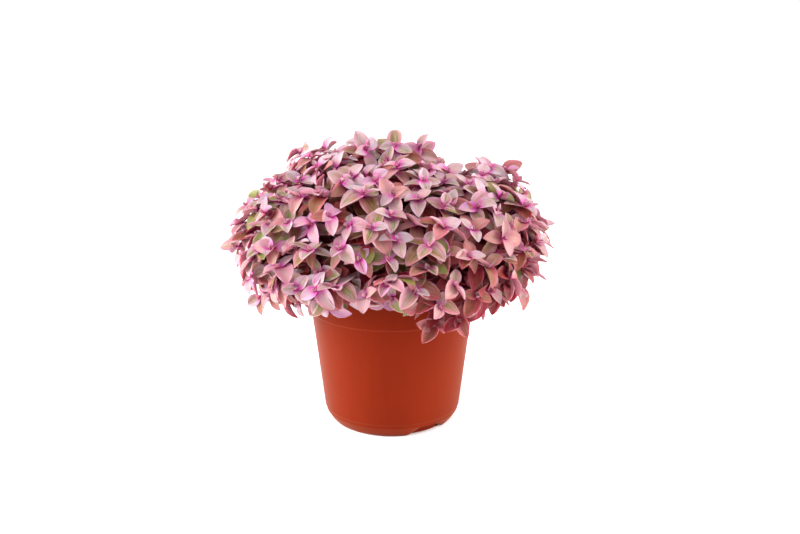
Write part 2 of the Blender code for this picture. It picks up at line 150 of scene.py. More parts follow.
# The finer pieces
POT_SEGMENTS = 192
CORNER_STEPS = 5
CORNER_REACH = 0.00035
CORNER_SHARE = 0.45
DRAIN_SEGMENTS = 32
DRAIN_CUT = (0.003, 0.013)
SOIL_SEGMENTS = 144
SOIL_RINGS = 44
SOIL_CALM_WIDTH = 0.002
CRUMB_SEED = 11
CRUMB_WAVES = 26
CRUMB_PITCHES = (500.0, 3200.0)
LUMP_SEED = 12
LUMP_SIDES = 6
LUMP_POLAR_ANGLES = (38.0, 90.0, 142.0)
LUMP_MARGIN = 0.004
LUMP_LIFT = 0.3
LUMP_SIZE_RANGE = (0.35, 1.0)
LUMP_UNEVEN_RANGE = (0.75, 1.15)
LUMP_FLAT_RANGE = (0.55, 0.9)
VINE_SEED = 7
MOUND_STEPS = 400
FINE_STEM_POINTS = 22
FINE_SHOOT_POINTS = 12
FINE_STEM_SIDES = 6
STEM_TAPER = 0.35
STEM_FOOT_REACH = 0.3
EXTRA_SHOOT_STARTS = (0.50, 0.74, 0.86)
EXTRA_TIP_RANGE = (-0.0080, 0.0025)
EXTRA_REACH = (0.018, 0.028)
GAP_PLACES = 900
GAP_SHOOTS = 48
GAP_START = 0.62
PAIR_TURN = math.radians(76.0)
PAIR_OFFSET = 0.0011
AXIS_SCATTER = 0.42
LEAF_LIGHT_PULL = 1.00
LIGHT_PULL_END = 1.15
CROWN_SPLAY = 0.60
SPLAY_CENTRE_Y = 0.055
LEAF_STATIONS = np.array([0.035, 0.12, 0.26, 0.43, 0.61, 0.79, 0.92])
LEAF_ACROSS = np.array([1.0, 0.5, 0.0, -0.5, -1.0, -0.5, 0.0, 0.5])
LEAF_UNDER = np.array([0.0, 0.0, 0.0, 0.0, 0.0, 1.0, 1.0, 1.0])
ROUGH_STATIONS = np.array([0.20, 0.50, 0.78])
ROUGH_ACROSS = np.array([1.0, -1.0, 0.0])
ROUGH_UNDER = np.array([0.0, 0.0, 1.0])
BASE_POWER = 0.52
TIP_POWER = 0.82
WIDEST = BASE_POWER / (BASE_POWER + TIP_POWER)
FOLD_SOFTNESS = 0.05
THICKNESS_AT_FOOT = 1.2
THICKNESS_LOSS = 0.8
RIPPLE_HEIGHT = 0.05
RIPPLE_TURN = 8.0
RIPPLE_SKEW = 1.5
BLADE_FOOT = (-0.0003, 0.0, -0.0002)
# Each pair of leaves on a shoot, from the bud back: distance back from the tip, length, width, lean
# from the shoot's way to the light, cupping, arch and age. The lean and the arch are degrees here.
LEAF_PAIRS = (
    (0.0003, 0.0042, 0.0029, 18.0, 1.00, 12.0, 0.00),
    (0.0012, 0.0122, 0.0086, 70.0, 0.50, 24.0, 0.10),
    (0.0034, 0.0162, 0.0108, 84.0, 0.40, 30.0, 0.26),
    (0.0072, 0.0176, 0.0116, 92.0, 0.32, 36.0, 0.46),
    (0.0120, 0.0176, 0.0116, 98.0, 0.28, 44.0, 0.68),
    (0.0178, 0.0170, 0.0114, 102.0, 0.22, 50.0, 0.88),
    (0.0250, 0.0162, 0.0112, 104.0, 0.15, 52.0, 1.00),
    (0.0340, 0.0160, 0.0112, 96.0, 0.15, 40.0, 1.00),
    (0.0450, 0.0160, 0.0112, 90.0, 0.15, 36.0, 1.00),
)
PAIR_COUNTS = (9, 8, 6)
# How much one shoot or leaf differs from the next
GREEN_AT_BUD = 0.20
GREEN_WITH_AGE = 0.75
GREENER = (-0.10, 0.10, 0.50)
GREENER_ODDS = (0.40, 0.40, 0.20)
GREENER_SPREAD = 0.10
MOOD_SHARE = 0.6
VIGOUR_RANGE = (0.90, 1.10)
SIZE_RANGE = (0.86, 1.12)
WIDTH_RANGE = (0.86, 1.10)
CUP_RANGE = (0.5, 1.8)
ARCH_RANGE = (0.35, 1.50)
LEAN_SPREAD = 0.16
SPIN_SPREAD = 0.20
TWIST_SPREAD = 0.22
ROLL_SPREAD = 0.24
SWAY_SPREAD = 0.07
AGE_SPREAD = 0.10
GREEN_SPREAD = 0.22
BEST_SHOWN_RANK = 2.1
# Extra age for leaves towards the low fringe, which darkens them: partly their real age, partly painted
# shade under the mound.
FRINGE_AGE_AND_SHADE = 0.20
# Places where the leaves' age is raised or lowered against elsewhere: centre, half width and age. A
# raised age darkens the leaves, partly as painted shade in the low spray; a lowered one makes them
# paler.
AGED_AND_SHADED_PLACES = (
    ((0.040, -0.080, 0.085), 0.032, 0.40),
    ((0.078, -0.055, 0.105), 0.036, 0.30),
    ((0.060, -0.075, 0.150), 0.032, 0.15),
    ((-0.050, -0.085, 0.108), 0.036, -0.14),
    ((-0.090, -0.050, 0.140), 0.040, -0.08),
)
SIZE_TRIES = (1.0, 0.86)
LEAN_TRIES = (0.0, -0.25, 0.25)
SPIN_TRIES = (0.0, 0.25, -0.25, 0.50, -0.50)
LEAF_NEIGHBOURHOOD = 0.036
SHARP_ANGLE = math.radians(60.0)
HAZE_ROUGHNESS = 0.6
# How far red, green and blue light spreads inside a leaf
LEAF_GLOW_REACH = (0.0010, 0.00025, 0.0003)
WHITE = (1.0, 1.0, 1.0, 1.0)

# The studio
FLOOR_DEPTH = 0.01
FLOOR_SEGMENTS = 64
LIGHT_TARGET = (0.0, 0.0, 0.11)
KEY_PLACE = (-0.15, -0.48, 1.0)
BACK_PLACE = (0.25, 1.00, 0.8)
SUN_ANGLE = math.radians(70.0)
SOFTBOX_PLACES = ((-1.3, -0.15, 0.55), (1.3, -0.15, 0.55))
SOFTBOX_WIDTH = 0.75
SOFTBOX_HEIGHT = 1.2
SENSOR_WIDTH = 36.0
NEAREST_SEEN = 0.01


class Socket:
    """A shader socket that does arithmetic: an expression on values adds its Math nodes."""

    def __init__(self, tree, link=None):
        self.tree = tree
        self.link = link

    def node(self, kind, settings, values, output=0):
        """Any node: its settings are set first, then the values or the links of its sockets."""
        made = self.tree.nodes.new(kind)
        for key, value in settings.items():
            setattr(made, key, value)
        self.fill(made, values)
        return Socket(self.tree, made.outputs[output])

    def fill(self, node, values):
        """Set a node's sockets to plain values, or link them to what varies."""
        for key, value in values.items():
            if isinstance(value, Socket):
                self.tree.links.new(value.link, node.inputs[key])
            else:
                node.inputs[key].default_value = value

    def math(self, operation, *values):
        return self.node("ShaderNodeMath", {"operation": operation}, dict(enumerate(values)))

    def __add__(self, other):
        return self.math("ADD", self, other)

    def __sub__(self, other):
        return self.math("SUBTRACT", self, other)

    def __rsub__(self, other):
        return self.math("SUBTRACT", other, self)

    def __mul__(self, other):
        return self.math("MULTIPLY", self, other)

    def __abs__(self):
        return self.math("ABSOLUTE", self)

    __radd__ = __add__
    __rmul__ = __mul__

    def fade(self, start, end):
        """Nought at the start and one at the end, with an S-shaped step between them."""
        values = {"Value": self, "From Min": start, "From Max": end}
        return self.node("ShaderNodeMapRange", {"interpolation_type": "SMOOTHSTEP"}, values)

    def blend(self, first, second):
        """The first colour where this mask is nought, and the second where it is one."""
        first, second = (c if isinstance(c, Socket) else (*c, 1.0) for c in (first, second))
        return self.node("ShaderNodeMix", {"data_type": "RGBA"}, {0: self, 6: first, 7: second}, 2)

    def noise(self, scale, detail=2.0, roughness=0.5):
        """Smooth noise from nought to one about this place."""
        values = {"Vector": self, "Scale": scale, "Detail": detail, "Roughness": roughness}
        return self.node("ShaderNodeTexNoise", {}, values)

    def stretched(self, *scale):
        """This place with its axes scaled, so that a pattern there is drawn out."""
        return self.node("ShaderNodeMapping", {}, {"Vector": self, "Scale": scale})


def start_material(name):
    """A new material, its Principled shader and a socket to begin its maths with."""
    material = bpy.data.materials.new(name)
    material.use_nodes = True
    tree = material.node_tree
    return material, tree.nodes["Principled BSDF"], Socket(tree)


def relief(height, strength, distance):
    """A bump from a height that goes from nought to one."""
    values = {"Height": height, "Strength": strength, "Distance": distance}
    return height.node("ShaderNodeBump", {}, values)


def plastic_material(settings):
    """Moulded terracotta-coloured plastic: orange peel, cloudy streaks, satin gloss and a haze."""
    material, shader, begin = start_material("terracotta_plastic")
    place = begin.node("ShaderNodeTexCoord", {}, {}, "Object")
    cloud = place.stretched(1.0, 1.0, 0.25).noise(55.0, 3.0).fade(0.30, 0.70)
    grain = place.noise(2600.0)
    peel = place.noise(1100.0, 1.0)
    body = cloud.blend(settings.deep_colour, settings.colour)
    begin.fill(shader, {
        "Base Color": (grain.fade(0.60, 0.80) * 0.25).blend(body, settings.pale_colour),
        "Roughness": settings.roughness + 0.08 * cloud + 0.05 * grain,
        "Normal": relief(peel, 0.12, 0.0002),
        "Specular IOR Level": settings.gloss,
        "Sheen Weight": settings.haze,
        "Sheen Roughness": HAZE_ROUGHNESS,
        "Sheen Tint": (*settings.haze_colour, 1.0),
    })
    return material


def soil_material(settings):
    """Dark peaty potting soil with brown fibres and a few pale mineral grains."""
    material, shader, begin = start_material("potting_soil")
    place = begin.node("ShaderNodeTexCoord", {}, {}, "Object")
    clump = place.noise(260.0, 4.0, 0.65).fade(0.32, 0.68)
    crumb = place.noise(1500.0, 3.0, 0.6)
    pale = begin.node("ShaderNodeTexVoronoi", {}, {"Vector": place, "Scale": 330.0}).fade(0.16, 0.08)
    peat = clump.blend(settings.dark_colour, settings.colour)
    speck = pale * place.noise(90.0).fade(0.56, 0.62)
    begin.fill(shader, {
        "Base Color": speck.blend(peat, settings.grain_colour),
        "Roughness": 0.98 - 0.18 * crumb,
        "Normal": relief(crumb + clump, 0.6, 0.0006),
    })
    return material


def leaf_material(settings):
    """A variegated leaf: pink, with a streaked green middle, a magenta foot and a pale edge.

    The UV map runs across the leaf and along it. The attribute "leaf" holds the leaf's age, its own
    shade, how green it is, and one on its underside. Each mask is a noise, the age or a place on the
    leaf faded between two values, and colours are laid over each other from the pink to the edge.
    Old leaves deep in the mound, and the covered feet of old leaves, are darker: partly their real
    colour, partly painted shade.
    """
    material, shader, begin = start_material("variegated_leaf")
    place = begin.node("ShaderNodeUVMap", {}, {})
    across, along = (begin.node("ShaderNodeSeparateXYZ", {}, {"Vector": place}, key) for key in "XY")
    side = across * 2.0 - 1.0
    marks = {"attribute_type": "GEOMETRY", "attribute_name": "leaf"}
    traits = {"Color": begin.node("ShaderNodeAttribute", marks, {}, "Color")}
    age, shade, green = (
        begin.node("ShaderNodeSeparateColor", {}, traits, key) for key in ("Red", "Green", "Blue")
    )
    under = begin.node("ShaderNodeAttribute", marks, {}, "Alpha")
    own = begin.node("ShaderNodeCombineXYZ", {}, {"Z": shade * 61.0})
    shifted = begin.node("ShaderNodeVectorMath", {"operation": "ADD"}, {0: place, 1: own})
    streak = shifted.stretched(7.0, 1.3, 1.0).noise(1.0, 3.0, 0.6)
    vein = shifted.stretched(18.0, 1.8, 1.0).noise(1.0)
    blotch = shifted.noise(2.6)

    warmth = (shade * 0.35 + age * 1.5 - 0.12).fade(0.0, 1.0)
    rosy = warmth.blend(settings.pink, settings.salmon)
    rosy = (shade.fade(0.60, 0.82) * age.fade(0.60, 0.10)).blend(rosy, settings.lilac)
    # Old leaves, deep in the mound, fade to a dark red-brown: partly their real colour, partly painted
    # shade of the mound's inside.
    pink = age.fade(0.36, 0.88).blend(rosy, settings.russet_and_shade)
    creamy = (streak.fade(0.45, 0.60) * (1.0 - age) * 0.50).blend(pink, settings.cream)
    creamy = (vein.fade(0.48, 0.64) * 0.50).blend(creamy, settings.salmon)
    fresh = blotch.fade(0.35, 0.65).blend(settings.olive, settings.green)
    tinted = green.fade(0.10, 0.60).blend(settings.cream, fresh)
    # Old leaves' middles fade to a dark brown: partly their real colour, partly painted shade of the
    # mound's inside.
    old = age.fade(0.40, 0.86).blend(tinted, settings.bronze_and_shade)
    lopsided = abs(side + (begin.math("FRACT", shade * 7.0) - 0.5) * 0.8)
    ragged = lopsided + (streak - 0.5) * 0.9 + (blotch - 0.5) * 0.4 - age * 0.3
    middle = ragged.fade(0.92, 0.05) * along.fade(0.05, 0.30) * along.fade(1.02, 0.72)
    body = (middle * (0.25 + 0.75 * green) * (0.30 + 0.90 * vein.fade(0.34, 0.62))).blend(creamy, old)
    fully_green = begin.math("FRACT", shade * 23.0).fade(0.82, 0.84) * green.fade(0.60, 0.90)
    body = (fully_green * along.fade(0.02, 0.30) * 0.80).blend(body, settings.vivid)
    flush = (along + age * 0.6).fade(0.56, 0.04)
    # Towards the foot, where younger leaves cover it, an old leaf turns dark red: partly its real dark
    # red base, partly painted shade under those leaves.
    wine_base_and_shade = along.fade(0.60, 0.05) * age.fade(0.20, 0.75) * 0.9
    flushed = flush.blend(wine_base_and_shade.blend(body, settings.russet_and_shade), settings.magenta)
    edge = (abs(side).fade(0.75, 1.00) * (0.28 - 0.20 * age)).blend(flushed, settings.edge)
    lining = age.fade(0.40, 1.00).blend(settings.young_underside, settings.underside)
    begin.fill(shader, {
        "Base Color": (under * 0.85).blend(edge, lining),
        "Roughness": 0.44 + 0.14 * streak + 0.10 * under,
        "Normal": relief(vein + streak, 0.25, 0.0003),
        "Specular IOR Level": settings.gloss,
        "Subsurface Weight": settings.glow,
        "Subsurface Radius": LEAF_GLOW_REACH,
        "Subsurface Scale": 1.0,
    })
    return material


def stem_material(settings):
    """A maroon stem, pinker in streaks along it."""
    material, shader, begin = start_material("vine_stem")
    place = begin.node("ShaderNodeUVMap", {}, {})
    streak = place.stretched(6.0, 40.0, 1.0).noise(1.0, 3.0)
    begin.fill(shader, {
        "Base Color": streak.fade(0.35, 0.70).blend(settings.stem, settings.stem_light),
        "Roughness": 0.40 + 0.2 * streak,
        "Normal": relief(streak, 0.2, 0.0002),
        "Specular IOR Level": settings.gloss,
    })
    return material


def floor_material(settings):
    """A plain matt studio floor with a hardly visible mottle and a faint light of its own."""
    material, shader, begin = start_material("studio_floor")
    place = begin.node("ShaderNodeTexCoord", {}, {}, "Object")
    begin.fill(shader, {
        "Base Color": (*settings.floor_colour, 1.0),
        "Roughness": 0.80 + 0.1 * place.noise(3.0),
        "Specular IOR Level": 0.0,
        "Emission Color": WHITE,
        "Emission Strength": settings.floor_lift,
    })
    return material


def closed_tubes(rings, starts, ends):
    """Points, corners and face sizes of tubes that close in a point at both ends.

    The rings are an array of tube, station along it, place round it and x, y, z. A face joins two
    neighbours of one ring with the same two of the next, and each end is a fan round its point.
    """
    count, stations, around = rings.shape[:3]
    points = np.concatenate([starts[:, None], rings.reshape(count, -1, 3), ends[:, None]], axis=1)
    k = np.arange(around)
    after = (k + 1) % around
    first = np.stack([np.zeros_like(k), 1 + after, 1 + k], axis=1)
    rows = 1 + around * np.arange(stations - 1)[:, None]
    walls = np.stack([rows + k, rows + after, rows + around + after, rows + around + k], axis=2)
    last_row = 1 + around * (stations - 1)
    last = np.stack([last_row + k, last_row + after, np.full_like(k, last_row + around)], axis=1)
    corners = np.concatenate([first.ravel(), walls.ravel(), last.ravel()])
    sizes = np.concatenate([np.full(around, 3), np.full(walls.size // 4, 4), np.full(around, 3)])
    shift = points.shape[1] * np.arange(count)[:, None]
    return points.reshape(-1, 3), (corners + shift).ravel(), np.tile(sizes, count)


def merged(parts):
    """One set of points, corners and face sizes from several."""
    starts = np.cumsum([0] + [len(points) for points, _, _ in parts[:-1]])
    return (
        np.concatenate([points for points, _, _ in parts]),
        np.concatenate([corners + start for (_, corners, _), start in zip(parts, starts)]),
        np.concatenate([sizes for _, _, sizes in parts]),
    )


def add_piece(name, shape, materials):
    """A smooth mesh object from points, corners and face sizes."""
    points, corners, sizes = shape
    mesh = bpy.data.meshes.new(name)
    mesh.vertices.add(len(points))
    mesh.vertices.foreach_set("co", points.astype(np.float32).ravel())
    mesh.loops.add(len(corners))
    mesh.loops.foreach_set("vertex_index", corners.astype(np.int32))
    mesh.polygons.add(len(sizes))
    mesh.polygons.foreach_set("loop_start", (np.cumsum(sizes) - sizes).astype(np.int32))
    mesh.update(calc_edges=True)
    mesh.shade_smooth()
    for material in materials:
        mesh.materials.append(material)
    piece = bpy.data.objects.new(name, mesh)
    bpy.context.scene.collection.objects.link(piece)
    return piece


def set_uv(piece, values):
    """A UV map from one pair for each corner."""
    layer = piece.data.uv_layers.new(name="UVMap")
    layer.uv.foreach_set("vector", values.astype(np.float32).ravel())


def notch_lift(radius, z, azimuth):
    """How far the foot's edge is raised at a notch.

    The lift is an arch, a raised cosine of the angle from the notch's middle that a power makes
    fuller, and it fades out in a straight line up to the base line. It is nought on the floor and
    above the floor's underside.
    """
    step = TURN / NOTCH_COUNT
    off = (azimuth - NOTCH_AZIMUTH + 0.5 * step) % step - 0.5 * step
    arch = 0.5 + 0.5 * np.cos(np.pi * np.clip(off / NOTCH_HALF_ANGLE, -1.0, 1.0))
    lift = NOTCH_HEIGHT * arch ** NOTCH_FULLNESS * (1.0 - z / BASE_LINE_Z)
    return np.where((z > FLOOR_UNDERSIDE_Z) | (radius < FOOT_INNER_RADIUS), 0.0, lift)


def rounded(outline, reach):
    """An outline with each corner replaced by a parabola between points a reach before and after it."""
    steps = np.diff(outline, axis=0)
    lengths = np.linalg.norm(steps, axis=1)
    share = np.minimum(reach / lengths, CORNER_SHARE)
    corner = outline[1:-1, None]
    before = corner - (steps[:-1] * share[:-1, None])[:, None]
    after = corner + (steps[1:] * share[1:, None])[:, None]
    t = np.linspace(0.0, 1.0, CORNER_STEPS)[None, :, None]
    curve = before * (1.0 - t) ** 2 + corner * 2.0 * t * (1.0 - t) + after * t ** 2
    return np.concatenate([outline[:1], curve.reshape(-1, 2), outline[-1:]])


def pot_outline(settings):
    """The pot's section as (radius, z), from the middle of its underside round the rim to its floor."""
    floor_top = FLOOR_UNDERSIDE_Z + FLOOR_THICKNESS
    wall = settings.wall
    rim = settings.rim_radius
    return np.array([
        (0.0, FLOOR_UNDERSIDE_Z),
        (FOOT_INNER_RADIUS - 0.0005, FLOOR_UNDERSIDE_Z),
        (FOOT_INNER_RADIUS, 0.0),
        (FOOT_OUTER_RADIUS, 0.0),
        (FOOT_OUTER_RADIUS + 0.0025, 0.0026),
        (BASE_LINE_RADIUS - 0.0009, 0.0078),
        (BASE_LINE_RADIUS - 0.0005, BASE_LINE_Z - 0.0008),
        (BASE_LINE_RADIUS + 0.0001, BASE_LINE_Z),
        (WALL_TOP_RADIUS + 0.0001, RIM_FOOT_Z - 0.0010),
        (RIM_FOOT_RADIUS - 0.0001, RIM_FOOT_Z),
        (rim - 0.0001, settings.height - 0.0032),
        (rim, settings.height - 0.0012),
        (rim - LIP_ROUND, settings.height),
        (rim - wall, settings.height - LIP_ROUND),
        (RIM_FOOT_RADIUS - wall, RIM_FOOT_Z + 0.0005),
        (WALL_TOP_RADIUS - wall, RIM_FOOT_Z - 0.0005),
        (BASE_LINE_RADIUS - wall, floor_top + 0.0010),
        (BASE_LINE_RADIUS - wall - 0.0010, floor_top),
        (0.0, floor_top),
    ])


def round_angles(count):
    """Angles that share a whole turn evenly."""
    return TURN * np.arange(count) / count


def turned(outline, segments):
    """An outline of (radius, z) turned about Z: rings of points, and the two points on the axis."""
    azimuth = round_angles(segments)
    radius = outline[1:-1, :1]
    z = np.broadcast_to(outline[1:-1, 1:], (len(outline) - 2, segments))
    rings = np.stack([radius * np.cos(azimuth), radius * np.sin(azimuth), z], axis=2)[None]
    poles = np.array([[0.0, 0.0, outline[0, 1]], [0.0, 0.0, outline[-1, 1]]])
    return rings, poles[:1], poles[1:]


def pot_shape(settings):
    """The rounded section turned about Z, with the foot's edge lifted at its notches."""
    outline = rounded(pot_outline(settings), CORNER_REACH)
    rings, start, end = turned(outline, POT_SEGMENTS)
    azimuth = np.arctan2(rings[..., 1], rings[..., 0])
    rings[..., 2] += notch_lift(np.hypot(rings[..., 0], rings[..., 1]), rings[..., 2], azimuth)
    return closed_tubes(rings, start, end)


def drain_shape():
    """Upright rounds where the drain holes go through the floor."""
    azimuth = NOTCH_AZIMUTH + round_angles(DRAIN_COUNT)
    centres = DRAIN_CENTRE_RADIUS * np.stack([np.cos(azimuth), np.sin(azimuth), 0.0 * azimuth], axis=1)
    low, high = DRAIN_CUT
    column = np.array([(0.0, low), (DRAIN_RADIUS, low), (DRAIN_RADIUS, high), (0.0, high)])
    rings, start, end = turned(column, DRAIN_SEGMENTS)
    places = centres[:, None, None]
    return closed_tubes(rings + places, start + centres, end + centres)


def cut_away(piece, cutter):
    """Cut one closed shape out of a piece, for good."""
    modifier = piece.modifiers.new("Cut", "BOOLEAN")
    modifier.operation = "DIFFERENCE"
    modifier.solver = "EXACT"
    modifier.object = cutter
    graph = bpy.context.evaluated_depsgraph_get()
    mesh = bpy.data.meshes.new_from_object(piece.evaluated_get(graph), depsgraph=graph)
    piece.modifiers.clear()
    piece.data = mesh
    bpy.data.objects.remove(cutter, do_unlink=True)


def soil_height(x, y):
    """The soil's surface: a crown that falls by the square of the radius, with bumps of slow sines."""
    share = np.hypot(x, y) / WALL_TOP_RADIUS
    bumps = np.sin(310.0 * x + 1.0) * np.cos(270.0 * y) + 0.6 * np.sin(520.0 * y - 350.0 * x)
    return SOIL_CROWN_Z - (SOIL_CROWN_Z - SOIL_EDGE_Z) * share ** 2 + SOIL_ROUGHNESS * bumps


def crumbs(x, y, height):
    """Fine relief: a sum of sine waves in random directions, each lower the shorter it is."""
    rng = np.random.default_rng(CRUMB_SEED)
    turn = rng.uniform(0.0, TURN, CRUMB_WAVES)
    pitch = np.geomspace(*CRUMB_PITCHES, CRUMB_WAVES)
    phase = rng.uniform(0.0, TURN, CRUMB_WAVES)
    way = x[..., None] * np.cos(turn) + y[..., None] * np.sin(turn)
    waves = np.sin(pitch * way + phase) * (pitch[0] / pitch) ** 0.5
    return height * waves.sum(axis=-1) / math.sqrt(CRUMB_WAVES)


def soil_shape(settings, floor_z, reach):
    """A closed plug under a crumbly top: the bowed ground plus waves that die out at the pot's wall."""
    low = np.array([
        (0.0, floor_z),
        (BASE_LINE_RADIUS - 0.0028, floor_z),
        (reach - 0.0010, RIM_FOOT_Z),
        (reach, SOIL_EDGE_Z - 0.0010),
    ])
    radii = reach * np.linspace(1.0, 0.0, SOIL_RINGS)
    top = np.stack([radii, np.full(SOIL_RINGS, SOIL_CROWN_Z)], axis=1)
    rings, start, end = turned(np.concatenate([low, top]), SOIL_SEGMENTS)
    surface = rings[0, len(low) - 1:]
    x, y = surface[..., 0], surface[..., 1]
    calm = np.clip((reach - np.hypot(x, y)) / SOIL_CALM_WIDTH, 0.0, 1.0)
    surface[..., 2] = soil_height(x, y) + calm * crumbs(x, y, settings.crumb_height)
    end[0, 2] = surface[-1, :, 2].mean()
    return closed_tubes(rings, start, end)


def lump_shape(settings, reach):
    """Loose crumbs: squashed balls with uneven rings, scattered evenly over the soil."""
    rng = np.random.default_rng(LUMP_SEED)
    count = settings.lump_count
    place = (reach - LUMP_MARGIN) * np.sqrt(rng.uniform(0.0, 1.0, count))
    azimuth = rng.uniform(0.0, TURN, count)
    radius = rng.uniform(*LUMP_SIZE_RANGE, count) ** 2 * settings.lump_radius
    x, y = place * np.cos(azimuth), place * np.sin(azimuth)
    centre = np.stack([x, y, soil_height(x, y) + LUMP_LIFT * radius], axis=1)
    polar = np.radians(LUMP_POLAR_ANGLES)[None, :, None]
    turn = round_angles(LUMP_SIDES)[None, None, :]
    rim = rng.uniform(*LUMP_UNEVEN_RANGE, (count, polar.size, LUMP_SIDES))
    uneven = radius[:, None, None] * rim
    flat = rng.uniform(*LUMP_FLAT_RANGE, count)[:, None, None]
    rings = np.stack([
        uneven * np.sin(polar) * np.cos(turn),
        uneven * np.sin(polar) * np.sin(turn),
        -uneven * flat * np.cos(polar),
    ], axis=3)
    pole = np.stack([0.0 * radius, 0.0 * radius, radius * flat[:, 0, 0]], axis=1)
    return closed_tubes(rings + centre[:, None, None], centre - pole, centre + pole)


def root_place(index):
    """Where a stem stands in the soil: a sunflower pattern, the later stems further out."""
    radius = ROOT_SPREAD * math.sqrt((index + 0.5) / STEM_COUNT)
    azimuth = index * GOLDEN_ANGLE
    return radius * math.cos(azimuth), radius * math.sin(azimuth)


def mound_drop(azimuth):
    """How far the mound hangs below its waist: deep at the sides, shallow in front, deep in the spray.

    The sides' drop counts by the squared cosine of the azimuth and the front's or back's by its
    squared sine, and the spray adds a bell curve of the angle from its middle.
    """
    ends = DROP_FRONT if math.sin(azimuth) < 0.0 else DROP_BACK
    off = math.remainder(azimuth - SPRAY_AZIMUTH, TURN) / SPRAY_HALF_WIDTH
    spray = SPRAY_DROP * math.exp(-off * off)
    return DROP_SIDES * math.cos(azimuth) ** 2 + ends * math.sin(azimuth) ** 2 + spray


def nearness_sum(point, places):
    """The sum of the places' values, each fading as a bell curve of the distance from its centre."""
    return sum(
        value * math.exp(-(((point - Vector(centre)).length / width) ** 2))
        for centre, width, value in places
    )


def mound_point(azimuth, angle):
    """The mound's surface at an angle from its crown, and the way out of it.

    It is a superellipse turned about Z, with a hollow across its top, pushed out at each tuft by a
    bell curve of the distance from the tuft's centre.
    """
    height = MOUND_RISE if angle < 0.5 * math.pi else mound_drop(azimuth)
    across = abs(math.sin(angle)) ** (2.0 / MOUND_POWER)
    up = math.copysign(abs(math.cos(angle)) ** (2.0 / MOUND_POWER), math.cos(angle))
    x = MOUND_RADIUS_X * across * math.cos(azimuth)
    y = MOUND_RADIUS_Y * across * math.sin(azimuth)
    hollow = HOLLOW_DEPTH * math.exp(-(((x - HOLLOW_X) / HOLLOW_HALF_WIDTH) ** 2)) * max(up, 0.0)
    flat = across ** (MOUND_POWER - 1.0)
    outward = Vector((
        flat * math.cos(azimuth) / MOUND_RADIUS_X,
        flat * math.sin(azimuth) / MOUND_RADIUS_Y,
        math.copysign(abs(up) ** (MOUND_POWER - 1.0), up) / height,
    ))
    point = Vector((x, y, MOUND_WAIST_Z + height * up - hollow))
    outward.normalize()
    return point + outward * nearness_sum(point, TUFTS), outward


def mound_angles(count):
    """Angles from the crown that share the mound's surface evenly among a number of shoots."""
    angles = np.linspace(0.0, FRINGE_ANGLE, MOUND_STEPS)
    points = np.array([tuple(mound_point(math.pi, a)[0]) for a in angles])
    radii = np.hypot(points[:, 0], points[:, 1])
    steps = np.linalg.norm(np.diff(points, axis=0), axis=1)
    area = np.concatenate([[0.0], np.cumsum(0.5 * (radii[1:] + radii[:-1]) * steps)])
    return np.interp((np.arange(count) + 0.5) / count * area[-1], area, angles)


def facing(outward):
    """The way a shoot's leaves face: out of the mound and turned up to the light."""
    return (outward + Vector((0.0, 0.0, LIGHT_PULL))).normalized()


def arrival(azimuth, angle):
    """The way a stem runs as it reaches its tip: up at the crown, out at the waist, down below it."""
    turn = ARRIVAL_TURN * angle
    across = math.sin(turn)
    return Vector((across * math.cos(azimuth), across * math.sin(azimuth), math.cos(turn)))


def curve_points(start, start_way, end, end_way, count):
    """Points on a cubic curve with a given way out of its start and into its end."""
    t = np.linspace(0.0, 1.0, count)[:, None]
    first = np.array(start + start_way)
    second = np.array(end - end_way)
    s = 1.0 - t
    middle = first * 3.0 * s * s * t + second * 3.0 * s * t * t
    return [Vector(point) for point in np.array(start) * s ** 3 + middle + np.array(end) * t ** 3]


def stem_route(index, tip, azimuth, angle, count):
    """A stem's route from the bottom of its hole, over the rim where it has to, to its tip."""
    x, y = root_place(index)
    ground = Vector((x, y, float(soil_height(x, y))))
    reach = (tip - ground).length
    climb = Vector((0.0, 0.0, max(STEM_CLIMB * reach, RIM_CLIMB * math.sin(0.5 * angle))))
    points = curve_points(ground, climb, tip, arrival(azimuth, angle) * STEM_PULL * reach, count)
    return [ground - Vector((0.0, 0.0, ROOT_DEPTH))] + points


def shoot_route(stem, start, tip, angle, count):
    """A side shoot's route from a share of the way along its stem to its own tip."""
    at = round(start * (len(stem) - 1))
    way = (stem[at] - stem[at - 1]).normalized()
    pull = SHOOT_PULL * (tip - stem[at]).length
    azimuth = math.atan2(tip.y, tip.x)
    return curve_points(stem[at], way * pull, tip, arrival(azimuth, angle) * pull, count)


def unit(ways):
    """Ways scaled to a length of one."""
    return ways / np.linalg.norm(ways, axis=-1, keepdims=True)


def tube_rings(routes, radii, sides):
    """Rings of points round many routes at once, each ring square to its route.

    A ring's first way is the way square to its route's bow, less its part along the route there,
    and its second way is square to both. A tiny addition gives a straight route a first way too.
    """
    way = unit(np.gradient(routes, axis=1))
    bow = np.cross(routes[:, -1] - routes[:, 0], routes[:, routes.shape[1] // 2] - routes[:, 0])
    bow += np.array([1e-9, 2e-9, 0.0])
    side = unit(bow[:, None] - way * (bow[:, None] * way).sum(axis=2, keepdims=True))
    over = np.cross(way, side)
    turn = round_angles(sides)
    ring = side[:, :, None] * np.cos(turn)[:, None] + over[:, :, None] * np.sin(turn)[:, None]
    return routes[:, :, None] + ring * np.broadcast_to(radii, routes.shape[:2])[:, :, None, None]


